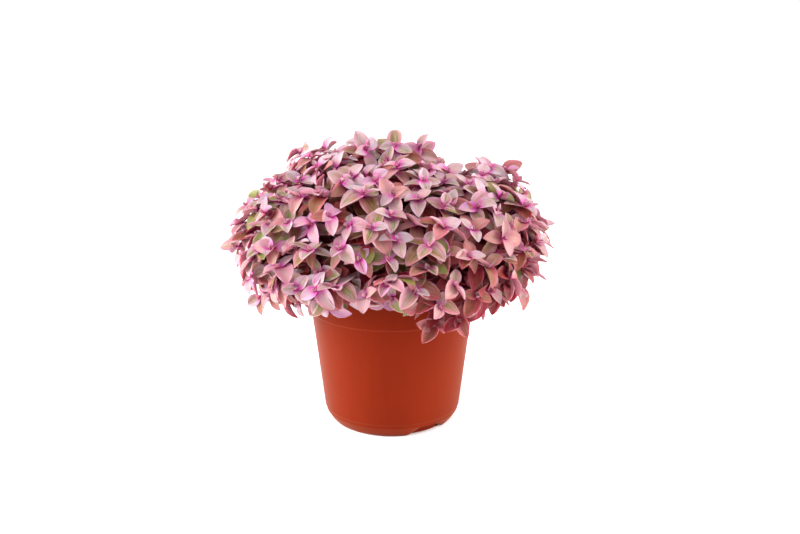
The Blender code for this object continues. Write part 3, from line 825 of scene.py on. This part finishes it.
def tube_tree(route, radius):
    """A search tree of a route's plain three-sided tube."""
    vertices = []
    side = Vector((1.0, 0.0, 0.0))
    last = len(route) - 1
    for k, point in enumerate(route):
        way = (route[min(k + 1, last)] - route[max(k - 1, 0)]).normalized()
        side = (side - way * side.dot(way)).normalized()
        over = way.cross(side)
        for j in range(STEM_SIDES):
            turn = TURN * j / STEM_SIDES
            vertices.append(point + (side * math.cos(turn) + over * math.sin(turn)) * radius)
    vertices.append(route[-1] + (route[-1] - route[-2]).normalized() * BUD_LENGTH)
    faces = [tuple(range(STEM_SIDES))]
    for row, j in itertools.product(range(last), range(STEM_SIDES)):
        low = row * STEM_SIDES
        after = (j + 1) % STEM_SIDES
        faces.append((low + j, low + after, low + STEM_SIDES + after, low + STEM_SIDES + j))
    low = last * STEM_SIDES
    faces += [(low + j, low + (j + 1) % STEM_SIDES, len(vertices) - 1) for j in range(STEM_SIDES)]
    return BVHTree.FromPolygons(vertices, faces)


def node_search_tree(name):
    """A search tree of a CAD node's own faces."""
    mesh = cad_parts[name].data
    points = [vertex.co for vertex in mesh.vertices]
    return BVHTree.FromPolygons(points, [face.vertices for face in mesh.polygons])


def shoot_choices(azimuth, angle, reaches):
    """Places on the mound round a stem's tip where a side shoot may end."""
    for k in range(SHOOT_CHOICES):
        turn = TURN * k / SHOOT_CHOICES
        reach = reaches[k % 2]
        round_reach = MOUND_RADIUS_X * max(math.sin(angle), CROWN_SINE)
        new_azimuth = azimuth + reach * math.cos(turn) / round_reach
        new_angle = angle + reach * math.sin(turn) / (0.5 * (MOUND_RADIUS_X + MOUND_RISE))
        if 0.0 < new_angle < FRINGE_ANGLE:
            yield *mound_point(new_azimuth, new_angle), new_angle


def new_shoot(fine, plain, outward, angle, side):
    """What is kept of one shoot: its fine route, its way to the light and its search tree."""
    return {
        "route": fine,
        "axis": facing(outward),
        "low": angle / FRINGE_ANGLE,
        "tree": tube_tree(plain, SHOOT_RADIUS + CLEARANCE),
        "side": side,
    }


def gap(point, tips):
    """How far a point is from the nearest tip."""
    return min((point - tip).length for tip in tips)


def add_further_shoot(stem, start, place, rng):
    """A side shoot from a share of the way along a stem's own shoot to a place on the mound."""
    point, outward, angle = place
    tip = point + outward * rng.uniform(*EXTRA_TIP_RANGE)
    route = shoot_route(stem["shoots"][0]["route"], start, tip, angle, FINE_SHOOT_POINTS)
    stem["shoots"].append(new_shoot(route, route, outward, angle, 2))


def plan_shoots(rng):
    """Every stem with its side shoots.

    The stems' tips share the mound evenly by the golden angle. Each side shoot then grows to the
    widest gap round its stem's tip: the first one, which the frame has too, must cross no other
    shoot, and the further ones fill the gaps that are left, here and then in fill_gaps.
    """
    stems = []
    tips = []
    for index, angle in enumerate(mound_angles(STEM_COUNT)):
        azimuth = index * GOLDEN_ANGLE
        point, outward = mound_point(azimuth, angle)
        tip = point + outward * rng.uniform(-TIP_SCATTER, TIP_SCATTER)
        plain = stem_route(index, tip, azimuth, angle, STEM_POINTS)
        fine = stem_route(index, tip, azimuth, angle, FINE_STEM_POINTS)
        shoot = new_shoot(fine, plain, outward, angle, 0)
        stems.append({"place": (azimuth, angle), "plain": plain, "shoots": [shoot]})
        tips.append(tip)
    for stem in stems:
        others = [shoot["tree"] for other in stems if other is not stem for shoot in other["shoots"]]
        choices = shoot_choices(*stem["place"], SHOOT_REACH)
        for point, outward, angle in sorted(choices, key=lambda choice: -gap(choice[0], tips)):
            plain = shoot_route(stem["plain"], SHOOT_START, point, angle, SHOOT_POINTS)
            if not any(tube_tree(plain, SHOOT_RADIUS).overlap(other) for other in others):
                fine = shoot_route(stem["plain"], SHOOT_START, point, angle, FINE_SHOOT_POINTS)
                stem["shoots"].append(new_shoot(fine, plain, outward, angle, 1))
                tips.append(point)
                break
    for start, stem in itertools.product(EXTRA_SHOOT_STARTS, stems):
        choices = shoot_choices(*stem["place"], EXTRA_REACH)
        place = max(choices, key=lambda choice: gap(choice[0], tips))
        add_further_shoot(stem, start, place, rng)
        tips.append(place[0])
    fill_gaps(stems, tips, rng)
    return stems


def fill_gaps(stems, tips, rng):
    """Send a side shoot to each of the widest gaps on the mound, from the stem that ends nearest."""
    places = [(k * GOLDEN_ANGLE, angle) for k, angle in enumerate(mound_angles(GAP_PLACES))]
    points = [mound_point(*place) for place in places]
    spots = np.array([tuple(point) for point, _ in points])
    ends = np.array([tuple(tip) for tip in tips])
    gaps = np.linalg.norm(spots[:, None] - ends[None], axis=2).min(axis=1)
    for _ in range(GAP_SHOOTS):
        widest = int(gaps.argmax())
        point, outward = points[widest]
        gaps = np.minimum(gaps, np.linalg.norm(spots - spots[widest], axis=1))
        stem = min(stems, key=lambda each: (each["shoots"][0]["route"][-1] - point).length)
        add_further_shoot(stem, GAP_START, (point, outward, places[widest][1]), rng)


def back_along(route, distance):
    """The point at a distance back from a route's tip."""
    for k in range(len(route) - 1, 0, -1):
        step = (route[k] - route[k - 1]).length
        if distance <= step:
            break
        distance -= step
    return route[k].lerp(route[k - 1], min(distance / step, 1.0))


def local_age_and_shade(foot, low):
    """How far the leaves' age is moved at a place and raised towards the fringe, which darkens them:
    partly real age, partly painted shade.
    """
    return FRINGE_AGE_AND_SHADE * low ** 2 + nearness_sum(foot, AGED_AND_SHADED_PLACES)


def leaf_pull(shoot):
    """How a shoot's leaves are drawn further: outwards at the crown, and up at the waist.

    The pull outwards goes with the cosine of the angle from the crown, and the pull up with its
    sine, fading towards the fringe.
    """
    angle = shoot["low"] * FRINGE_ANGLE
    tip = shoot["route"][-1]
    splay = CROWN_SPLAY * max(math.cos(angle), 0.0) / MOUND_RADIUS_X
    lift = LEAF_LIGHT_PULL * math.sin(angle) * (LIGHT_PULL_END - shoot["low"])
    return Vector((splay * tip.x, splay * (tip.y - SPLAY_CENTRE_Y), lift))


def limited(share):
    """A share kept between nought and one."""
    return min(max(share, 0.0), 1.0)


def plan_leaves(stems, rng, settings):
    """Every leaf to place, with its size, bend and colouring, those that show most first."""
    wanted = []
    for stem in stems:
        for shoot in stem["shoots"]:
            start = rng.uniform(0.0, TURN)
            greener = rng.choice(GREENER, p=GREENER_ODDS) + rng.normal(0.0, GREENER_SPREAD)
            vigour = rng.uniform(*VIGOUR_RANGE)
            mood = rng.uniform(0.0, 1.0)
            scatter = Vector(rng.normal(0.0, AXIS_SCATTER, 3))
            axis = (shoot["axis"] + leaf_pull(shoot) + scatter).normalized()
            pairs = LEAF_PAIRS[:PAIR_COUNTS[shoot["side"]]]
            for rank, (back, length, width, lean, cup, arch, age) in enumerate(pairs):
                usual_green = GREEN_AT_BUD + GREEN_WITH_AGE * age + greener
                for half in range(2):
                    size = vigour * rng.uniform(*SIZE_RANGE) * settings.leaf_scale
                    foot = back_along(shoot["route"], back + half * PAIR_OFFSET)
                    facing_spin = start + rank * PAIR_TURN + half * math.pi
                    # The age is moved here partly as painted shade, which darkens the leaf.
                    age_and_shade_here = local_age_and_shade(foot, shoot["low"])
                    wanted.append({
                        "stem": stem,
                        "shoot": shoot,
                        "rank": rank,
                        "foot": foot,
                        "axis": axis,
                        "length": length * size,
                        "width": width * size * rng.uniform(*WIDTH_RANGE),
                        "lean": math.radians(lean) + rng.normal(0.0, LEAN_SPREAD),
                        "spin": facing_spin + rng.normal(0.0, SPIN_SPREAD),
                        "cup": cup * rng.uniform(*CUP_RANGE),
                        "arch": math.radians(arch) * rng.uniform(*ARCH_RANGE),
                        "twist": rng.normal(0.0, TWIST_SPREAD),
                        "roll": rng.normal(0.0, ROLL_SPREAD),
                        "sway": rng.normal(0.0, SWAY_SPREAD),
                        "phase": rng.uniform(0.0, TURN),
                        "age": limited(age + rng.normal(0.0, AGE_SPREAD) + age_and_shade_here),
                        "shade": MOOD_SHARE * mood + (1.0 - MOOD_SHARE) * rng.uniform(0.0, 1.0),
                        "green": limited(usual_green + rng.normal(0.0, GREEN_SPREAD)),
                    })
    return sorted(wanted, key=lambda leaf: abs(leaf["rank"] - BEST_SHOWN_RANK))


def leaf_turn(axis, spin, lean):
    """A leaf's turning matrix: it leans away from the shoot's axis, its upper side facing along it."""
    side = axis.orthogonal().normalized()
    over = axis.cross(side)
    out = side * math.cos(spin) + over * math.sin(spin)
    way = axis * math.cos(lean) + out * math.sin(lean)
    face = axis * math.sin(lean) - out * math.cos(lean)
    return np.array(Matrix((way, face.cross(way), face)).transposed())


def column(leaves, key):
    """One value of each leaf."""
    return np.array([leaf[key] for leaf in leaves])


def blades(leaves, stations, across, under, thickness):
    """Rings of points of many leaves at once, with their foot and tip points.

    At a share u of the midrib the half width is W/2 (u/a)^p ((1-u)/(1-a))^q, which is widest at a.
    The midrib is an arc of a circle. A point at a share v of the half width stands up from it by the
    cupping times the half width times a rounded |v|, plus a ripple that grows with v squared. The
    underside lies a thickness lower, which falls off along the blade and by 1 - v squared to
    nothing at the margins. The blade is then rolled about its midrib, twisted further with u, and
    swayed aside by the square of u.
    """
    keys = ("length", "width", "cup", "arch", "twist", "roll", "sway", "phase")
    length, width, cup, arch, twist, roll, sway, phase = (
        column(leaves, key)[:, None, None] for key in keys
    )
    u = stations[None, :, None]
    v = across[None, None, :]
    half = 0.5 * width * (u / WIDEST) ** BASE_POWER * ((1.0 - u) / (1.0 - WIDEST)) ** TIP_POWER
    rise = cup * half * (np.sqrt(v ** 2 + FOLD_SOFTNESS) - math.sqrt(FOLD_SOFTNESS))
    rise = rise + RIPPLE_HEIGHT * half * v ** 2 * np.sin(RIPPLE_TURN * u + phase + RIPPLE_SKEW * v)
    rise = rise - thickness * under * (1.0 - v ** 2) * (THICKNESS_AT_FOOT - THICKNESS_LOSS * u)
    turn = roll + twist * u
    y = sway * length * u ** 2 + v * half * np.cos(turn) - rise * np.sin(turn)
    rise = v * half * np.sin(turn) + rise * np.cos(turn)
    bend = arch * u
    bow = length / arch
    local = np.stack([
        bow * np.sin(bend) + rise * np.sin(bend),
        y,
        bow * (np.cos(bend) - 1.0) + rise * np.cos(bend),
    ], axis=3)
    bow, arch = bow[:, 0, 0], arch[:, 0, 0]
    aside = (sway * length)[:, 0, 0]
    tip = np.stack([bow * np.sin(arch), aside, bow * (np.cos(arch) - 1.0)], axis=1)
    foot = np.array([BLADE_FOOT]) + 0.0 * tip
    return local, foot, tip


def put(turns, feet, points):
    """Each leaf's points turned by its matrix and moved to its foot."""
    flat = points.reshape(len(points), -1, 3)
    return (np.einsum("nij,nkj->nki", turns, flat) + feet[:, None]).reshape(points.shape)


def place_leaves(stems, wanted, fixed, thickness):
    """Settle each leaf where it runs into the fewest others, turning, tilting or shrinking it.

    A passing shoot counts as two leaves. A leaf that can't be clear of the pot and the soil is left
    out.
    """
    shoots = [shoot for stem in stems for shoot in stem["shoots"]]
    feet = column(wanted, "foot")
    routes = [np.array(shoot["route"]) for shoot in shoots]
    reaches = np.stack([
        np.linalg.norm(route[None] - feet[:, None], axis=2).min(axis=1) for route in routes
    ], axis=1)
    rings, low, high = blades(wanted, ROUGH_STATIONS, ROUGH_ACROSS, ROUGH_UNDER, thickness)
    corners, sizes = closed_tubes(rings[:1], low[:1], high[:1])[1:]
    faces = [face.tolist() for face in np.split(corners, np.cumsum(sizes)[:-1])]
    beyond = [face for face in faces if 0 not in face]
    points = np.concatenate([low[:, None], rings.reshape(len(wanted), -1, 3), high[:, None]], axis=1)
    placed = []
    placed_feet = np.zeros((0, 3))
    for number, leaf in enumerate(wanted):
        foot = feet[number]
        passing = [
            shoot["tree"] for shoot, reach in zip(shoots, reaches[number])
            if reach < leaf["length"] and shoot is not leaf["shoot"]
        ]
        close = np.flatnonzero(np.linalg.norm(placed_feet - foot, axis=1) < LEAF_NEIGHBOURHOOD)
        near = [placed[k] for k in close]
        best = None
        for size, lean, spin in itertools.product(SIZE_TRIES, LEAN_TRIES, SPIN_TRIES):
            turn = leaf_turn(leaf["axis"], leaf["spin"] + spin, leaf["lean"] + lean)
            spots = (points[number] * size @ turn.T + foot).tolist()
            whole = BVHTree.FromPolygons(spots, faces)
            if any(whole.overlap(tree) for tree in fixed):
                continue
            outer = BVHTree.FromPolygons(spots, beyond)
            hits = 2 * sum(bool(outer.overlap(tree)) for tree in passing)
            for other in near:
                own = other["shoot"] is leaf["shoot"]
                hits += bool((outer if own else whole).overlap(other["tree"]))
            if best is None or hits < best[0]:
                best = (hits, size, turn, whole)
            if hits == 0:
                break
        if best is not None:
            hits, size, turn, whole = best
            placed.append({**leaf, "tree": whole, "turn": turn, "size": size, "hits": hits})
            placed_feet = np.vstack([placed_feet, foot])
    touching = sum(leaf["hits"] > 0 for leaf in placed)
    print(f"leaves placed {len(placed)} of {len(wanted)}, touching {touching}")
    return placed


def leaf_shape(leaves, thickness):
    """All the leaves of one vine: their shape, and the UV and traits of each corner."""
    rings, low, high = blades(leaves, LEAF_STATIONS, LEAF_ACROSS, LEAF_UNDER, thickness)
    size = column(leaves, "size")[:, None, None]
    place = column(leaves, "turn"), column(leaves, "foot")
    rings = put(*place, rings * size[..., None])
    starts = put(*place, low[:, None] * size)[:, 0]
    ends = put(*place, high[:, None] * size)[:, 0]
    shape = closed_tubes(rings, starts, ends)

    around = len(LEAF_ACROSS)
    one_corners, one_sizes = closed_tubes(rings[:1], starts[:1], ends[:1])[1:]
    across = np.concatenate([[0.0], np.tile(LEAF_ACROSS, len(LEAF_STATIONS)), [0.0]])
    along = np.concatenate([[0.0], np.repeat(LEAF_STATIONS, around), [1.0]])
    uv = np.stack([0.5 + 0.5 * across[one_corners], along[one_corners]], axis=1)
    places = np.where(one_corners == 0, -1, (one_corners - 1) % around)
    places[one_corners == len(across) - 1] = -1
    face = np.repeat(np.arange(len(one_sizes)), one_sizes)
    under = np.zeros(len(one_sizes))
    np.maximum.at(under, face, np.where(places >= 0, LEAF_UNDER[places], 0.0))
    traits = np.empty((len(leaves), len(one_corners), 4))
    for channel, key in enumerate(("age", "shade", "green")):
        traits[..., channel] = column(leaves, key)[:, None]
    traits[..., 3] = under[face]
    return shape, np.tile(uv, (len(leaves), 1)), traits.reshape(-1, 4)


def stem_shape(shoots, radius):
    """One vine's stem and its side shoots, each thinner towards its tip, and the UV of each corner."""
    parts = []
    pairs = []
    for group in (shoots[:1], shoots[1:]):
        routes = np.array([shoot["route"] for shoot in group])
        share = np.linspace(0.0, 1.0, routes.shape[1])
        rings = tube_rings(routes, radius * (1.0 - STEM_TAPER * share), FINE_STEM_SIDES)
        starts = routes[:, 0] + STEM_FOOT_REACH * radius * unit(routes[:, 0] - routes[:, 1])
        ends = routes[:, -1] + BUD_LENGTH * unit(routes[:, -1] - routes[:, -2])
        part = closed_tubes(rings, starts, ends)
        points = 2 + rings.shape[1] * FINE_STEM_SIDES
        place = part[1] % points - 1
        pole = (place < 0) | (place == points - 2)
        around = np.where(pole, 0, place % FINE_STEM_SIDES) / FINE_STEM_SIDES
        along = np.clip(place // FINE_STEM_SIDES, 0, rings.shape[1] - 1) / rings.shape[1]
        parts.append(part)
        pairs.append(np.stack([around, along], axis=1))
    return merged(parts), np.concatenate(pairs)


def make_vine(name, stem, leaves, materials, settings):
    """One vine as one mesh: its leaves first, then its stem and side shoots."""
    leafage, leaf_uv, traits = leaf_shape(leaves, settings.leaf_thickness)
    stalks, stalk_uv = stem_shape(stem["shoots"], settings.stem_radius)
    piece = add_piece(name, merged([leafage, stalks]), materials)
    mesh = piece.data
    mesh.polygons.foreach_set("material_index", np.repeat([0, 1], [len(leafage[2]), len(stalks[2])]))
    set_uv(piece, np.concatenate([leaf_uv, stalk_uv]))
    layer = mesh.color_attributes.new("leaf", "FLOAT_COLOR", "CORNER")
    plain = np.zeros((len(stalk_uv), 4))
    layer.data.foreach_set("color", np.concatenate([traits, plain]).astype(np.float32).ravel())
    mesh.set_sharp_from_angle(angle=SHARP_ANGLE)
    return piece


def fit(piece, node):
    """Let a piece stand for a CAD node on the fixed body, and hide the node."""
    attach(piece, "root")
    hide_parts(node)


def colour_property(name, description, default):
    return bpy.props.FloatVectorProperty(
        name=name, description=description, default=default, subtype="COLOR", size=3, min=0.0, max=1.0
    )


def number_property(name, description, default, **options):
    return bpy.props.FloatProperty(name=name, description=description, default=default, **options)


def share_property(name, description, default):
    return number_property(name, description, default, min=0.0, max=1.0, subtype="FACTOR")


def length_property(name, description, default):
    options = {"min": 0.0, "precision": 5, "subtype": "DISTANCE", "unit": "LENGTH"}
    return number_property(name, description, default, **options)


class PotSettings(bpy.types.PropertyGroup):
    """The moulded pot's sizes and finish."""

    height: length_property("Height", "From the floor to the top of the rim", POT_BOX[1].z)
    rim_radius: length_property("Rim radius", "Outer radius at the rim", POT_BOX[1].x)
    wall: length_property("Wall", "Thickness of the wall", 0.0013)
    colour: colour_property("Colour", "Body colour of the plastic", (0.163, 0.0092, 0.0008))
    deep_colour: colour_property("Deep colour", "Slightly deeper plastic", (0.149, 0.0077, 0.0005))
    pale_colour: colour_property("Pale grain", "Fine pale grain in the plastic", (0.225, 0.026, 0.005))
    roughness: share_property("Roughness", "How matt the plastic is", 0.36)
    gloss: share_property("Gloss", "How strongly the plastic mirrors the light", 0.03)
    haze: share_property("Haze", "Soft shine where the plastic turns away", 0.10)
    haze_colour: colour_property("Haze colour", "Colour of the soft shine", (1.0, 0.50, 0.20))


class SoilSettings(bpy.types.PropertyGroup):
    """The potting soil's grain and colours."""

    crumb_height: length_property("Crumb height", "Height of the fine relief", 0.0006)
    lump_radius: length_property("Lump radius", "Radius of the largest loose crumbs", 0.0019)
    lump_count: bpy.props.IntProperty(
        name="Lumps", description="How many loose crumbs lie on the soil", default=420, min=1, max=2000
    )
    colour: colour_property("Colour", "Brown of the peat", (0.060, 0.032, 0.018))
    dark_colour: colour_property("Dark colour", "Damp peat", (0.018, 0.010, 0.007))
    grain_colour: colour_property("Grain colour", "Pale mineral grains", (0.55, 0.50, 0.42))


class VineSettings(bpy.types.PropertyGroup):
    """The vines' sizes and colours."""

    leaf_scale: number_property("Leaf scale", "Size against a leaf's usual size", 1.0, min=0.2, max=2.0)
    gloss: share_property("Gloss", "How strongly the leaves' skin mirrors the light", 0.18)
    glow: share_property("Glow", "How much light passes through a leaf", 0.35)
    leaf_thickness: length_property("Leaf thickness", "Thickness of a leaf at its midrib", 0.0006)
    stem_radius: length_property("Stem radius", "Radius of a stem at its root", 0.0010)
    pink: colour_property("Pink", "Cool pink of the young leaves", (0.404, 0.314, 0.394))
    salmon: colour_property("Salmon", "Warm pink of the young leaves", (0.362, 0.080, 0.094))
    lilac: colour_property("Lilac", "Some shoots' young leaves", (0.450, 0.190, 0.390))
    # Dark red-brown of old leaves' margins: partly their real colour, partly painted shade deep in the
    # mound.
    russet_and_shade: colour_property("Russet", "Old leaves' margins", (0.190, 0.005, 0.018))
    cream: colour_property("Cream", "Pale streaks in the young leaves", (0.430, 0.320, 0.235))
    green: colour_property("Green", "Fresh green of the leaves' middle", (0.115, 0.155, 0.016))
    vivid: colour_property("Vivid green", "Leaves that are green all over", (0.160, 0.180, 0.042))
    olive: colour_property("Olive", "Dull green of the leaves' middle", (0.20, 0.098, 0.036))
    # Dark brown of old leaves' middles: partly their real colour, partly painted shade deep in the
    # mound.
    bronze_and_shade: colour_property("Bronze", "Old leaves' middle", (0.120, 0.012, 0.006))
    magenta: colour_property("Magenta", "Flush at the leaves' foot", (0.48, 0.016, 0.27))
    edge: colour_property("Edge", "Pale margin of the leaves", (0.450, 0.310, 0.318))
    underside: colour_property("Underside", "Wine red under an old leaf", (0.165, 0.003, 0.014))
    young_underside: colour_property("Young underside", "Lilac under a young leaf", (0.46, 0.205, 0.260))
    stem: colour_property("Stem", "Maroon of the stems", (0.16, 0.007, 0.020))
    stem_light: colour_property("Pale stem", "Pinker streaks of the stems", (0.38, 0.045, 0.13))


class StudioSettings(bpy.types.PropertyGroup):
    """The floor, the lights and the camera."""

    floor_size: length_property("Floor size", "Radius of the floor", 40.0)
    floor_colour: colour_property("Floor colour", "Pale floor", (0.95, 0.95, 0.95))
    floor_lift: share_property("Floor lift", "Faint light of its own that keeps it white far off", 0.12)
    sky: number_property("Surround", "Brightness of the white surround", 0.17)
    key: number_property("Key", "Strength of the soft light from above", 3.10)
    back: number_property("Back", "Strength of the soft light from behind", 0.7)
    left: number_property("Left", "Power of the left softbox", 45.0, unit="POWER")
    right: number_property("Right", "Power of the right softbox", 36.0, unit="POWER")
    camera_distance: length_property("Camera distance", "From the pot's axis to the camera", 0.786)
    camera_height: length_property("Camera height", "Camera above the floor", 0.326)
    camera_pitch: number_property("Camera pitch", "How far it looks down", 0.2625, subtype="ANGLE")
    camera_yaw: number_property("Camera yaw", "How far it looks to the right", 0.0075, subtype="ANGLE")
    lens: number_property("Lens", "Focal length", 50.0, unit="CAMERA")


def add_light(name, kind, place, **settings):
    """A lamp at a place that shines towards the middle of the object."""
    lamp = bpy.data.lights.new(name, kind)
    for key, value in settings.items():
        setattr(lamp, key, value)
    light = bpy.data.objects.new(name, lamp)
    light.location = place
    light.rotation_euler = (Vector(LIGHT_TARGET) - Vector(place)).to_track_quat("-Z", "Y").to_euler()
    bpy.context.scene.collection.objects.link(light)


class VINE_OT_make_studio(bpy.types.Operator):
    """Make the pale floor, the soft lights and the camera"""

    bl_idname = "vine.make_studio"
    bl_label = "Make the studio"

    def execute(self, context):
        settings = context.scene.vine_studio
        scene = context.scene
        size = settings.floor_size
        disc = np.array([(0.0, -FLOOR_DEPTH), (size, -FLOOR_DEPTH), (size, 0.0), (0.0, 0.0)])
        shape = closed_tubes(*turned(disc, FLOOR_SEGMENTS))
        add_piece("studio_floor", shape, [floor_material(settings)])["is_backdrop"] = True
        world = bpy.data.worlds.new("studio_surround")
        world.use_nodes = True
        tree = world.node_tree
        begin = Socket(tree)
        light = begin.node("ShaderNodeBackground", {}, {"Color": WHITE, "Strength": settings.sky})
        seen = begin.node("ShaderNodeBackground", {}, {"Color": WHITE, "Strength": 1.0})
        for_camera = begin.node("ShaderNodeLightPath", {}, {}, "Is Camera Ray")
        both = begin.node("ShaderNodeMixShader", {}, {0: for_camera, 1: light, 2: seen})
        tree.links.new(both.link, tree.nodes["World Output"].inputs["Surface"])
        tree.nodes.remove(tree.nodes["Background"])
        scene.world = world
        scene.view_settings.view_transform = "Standard"
        add_light("soft_key", "SUN", KEY_PLACE, energy=settings.key, angle=SUN_ANGLE)
        add_light("soft_back", "SUN", BACK_PLACE, energy=settings.back, angle=SUN_ANGLE)
        box = {"shape": "RECTANGLE", "size": SOFTBOX_WIDTH, "size_y": SOFTBOX_HEIGHT}
        for name, place in zip(("left", "right"), SOFTBOX_PLACES):
            add_light(f"{name}_softbox", "AREA", place, energy=getattr(settings, name), **box)
        camera = bpy.data.objects.new("camera", bpy.data.cameras.new("camera"))
        camera.data.lens = settings.lens
        camera.data.sensor_width = SENSOR_WIDTH
        camera.data.clip_start = NEAREST_SEEN
        camera.location = (0.0, -settings.camera_distance, settings.camera_height)
        camera.rotation_euler = (0.5 * math.pi - settings.camera_pitch, 0.0, -settings.camera_yaw)
        scene.collection.objects.link(camera)
        scene.camera = camera
        return {"FINISHED"}


class VINE_OT_make_pot(bpy.types.Operator):
    """Make the moulded pot with its rim band, base line, notches and drain holes"""

    bl_idname = "vine.make_pot"
    bl_label = "Make the pot"

    def execute(self, context):
        settings = context.scene.vine_pot
        pot = add_piece("moulded_pot", pot_shape(settings), [plastic_material(settings)])
        cut_away(pot, add_piece("drains", drain_shape(), []))
        pot.data.shade_smooth()
        pot.data.set_sharp_from_angle(angle=SHARP_ANGLE)
        fit(pot, "pot")
        return {"FINISHED"}


class VINE_OT_make_soil(bpy.types.Operator):
    """Make the crumbly potting soil"""

    bl_idname = "vine.make_soil"
    bl_label = "Make the soil"

    def execute(self, context):
        settings = context.scene.vine_soil
        reach = RIM_FOOT_RADIUS - context.scene.vine_pot.wall - CLEARANCE
        floor_z = FLOOR_UNDERSIDE_Z + FLOOR_THICKNESS + CLEARANCE
        shape = merged([soil_shape(settings, floor_z, reach), lump_shape(settings, reach)])
        soil = add_piece("crumbly_soil", shape, [soil_material(settings)])
        fit(soil, "potting_soil")
        return {"FINISHED"}


class VINE_OT_make_vines(bpy.types.Operator):
    """Make every vine: its stem, its side shoots and its leaves"""

    bl_idname = "vine.make_vines"
    bl_label = "Make the vines"

    def execute(self, context):
        settings = context.scene.vine_plant
        rng = np.random.default_rng(VINE_SEED)
        fixed = [node_search_tree(name) for name in ("pot", "potting_soil")]
        stems = plan_shoots(rng)
        wanted = plan_leaves(stems, rng, settings)
        placed = place_leaves(stems, wanted, fixed, settings.leaf_thickness)
        materials = [leaf_material(settings), stem_material(settings)]
        for number, stem in enumerate(stems, 1):
            own = [leaf for leaf in placed if leaf["stem"] is stem]
            vine = make_vine(f"vine_{number:02d}", stem, own, materials, settings)
            fit(vine, f"leafy_stem_{number:02d}")
        return {"FINISHED"}


class VINE_PT_sidebar(bpy.types.Panel):
    """The pieces of the turtle vine"""

    bl_idname = "VINE_PT_sidebar"
    bl_label = "Turtle vine"
    bl_space_type = "VIEW_3D"
    bl_region_type = "UI"
    bl_category = "Turtle vine"

    def draw(self, context):
        for group, _, operator in GROUPS:
            settings = getattr(context.scene, group)
            box = self.layout.box()
            for key in settings.bl_rna.properties.keys():
                if key not in ("rna_type", "name"):
                    box.prop(settings, key)
            box.operator(operator.bl_idname)


GROUPS = (
    ("vine_studio", StudioSettings, VINE_OT_make_studio),
    ("vine_pot", PotSettings, VINE_OT_make_pot),
    ("vine_soil", SoilSettings, VINE_OT_make_soil),
    ("vine_plant", VineSettings, VINE_OT_make_vines),
)


def register():
    for group, settings, operator in GROUPS:
        bpy.utils.register_class(settings)
        setattr(bpy.types.Scene, group, bpy.props.PointerProperty(type=settings))
        bpy.utils.register_class(operator)
    bpy.utils.register_class(VINE_PT_sidebar)


def unregister():
    bpy.utils.unregister_class(VINE_PT_sidebar)
    for group, settings, operator in reversed(GROUPS):
        bpy.utils.unregister_class(operator)
        delattr(bpy.types.Scene, group)
        bpy.utils.unregister_class(settings)


def main():
    """Make the studio and every piece."""
    register()
    bpy.ops.vine.make_studio()
    bpy.ops.vine.make_pot()
    bpy.ops.vine.make_soil()
    bpy.ops.vine.make_vines()
    boxes = {"cad": FRAME_BOX, "visual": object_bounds()}
    {name: [list(corner) for corner in box] for name, box in boxes.items()}


if __name__ == "__main__":
    main()
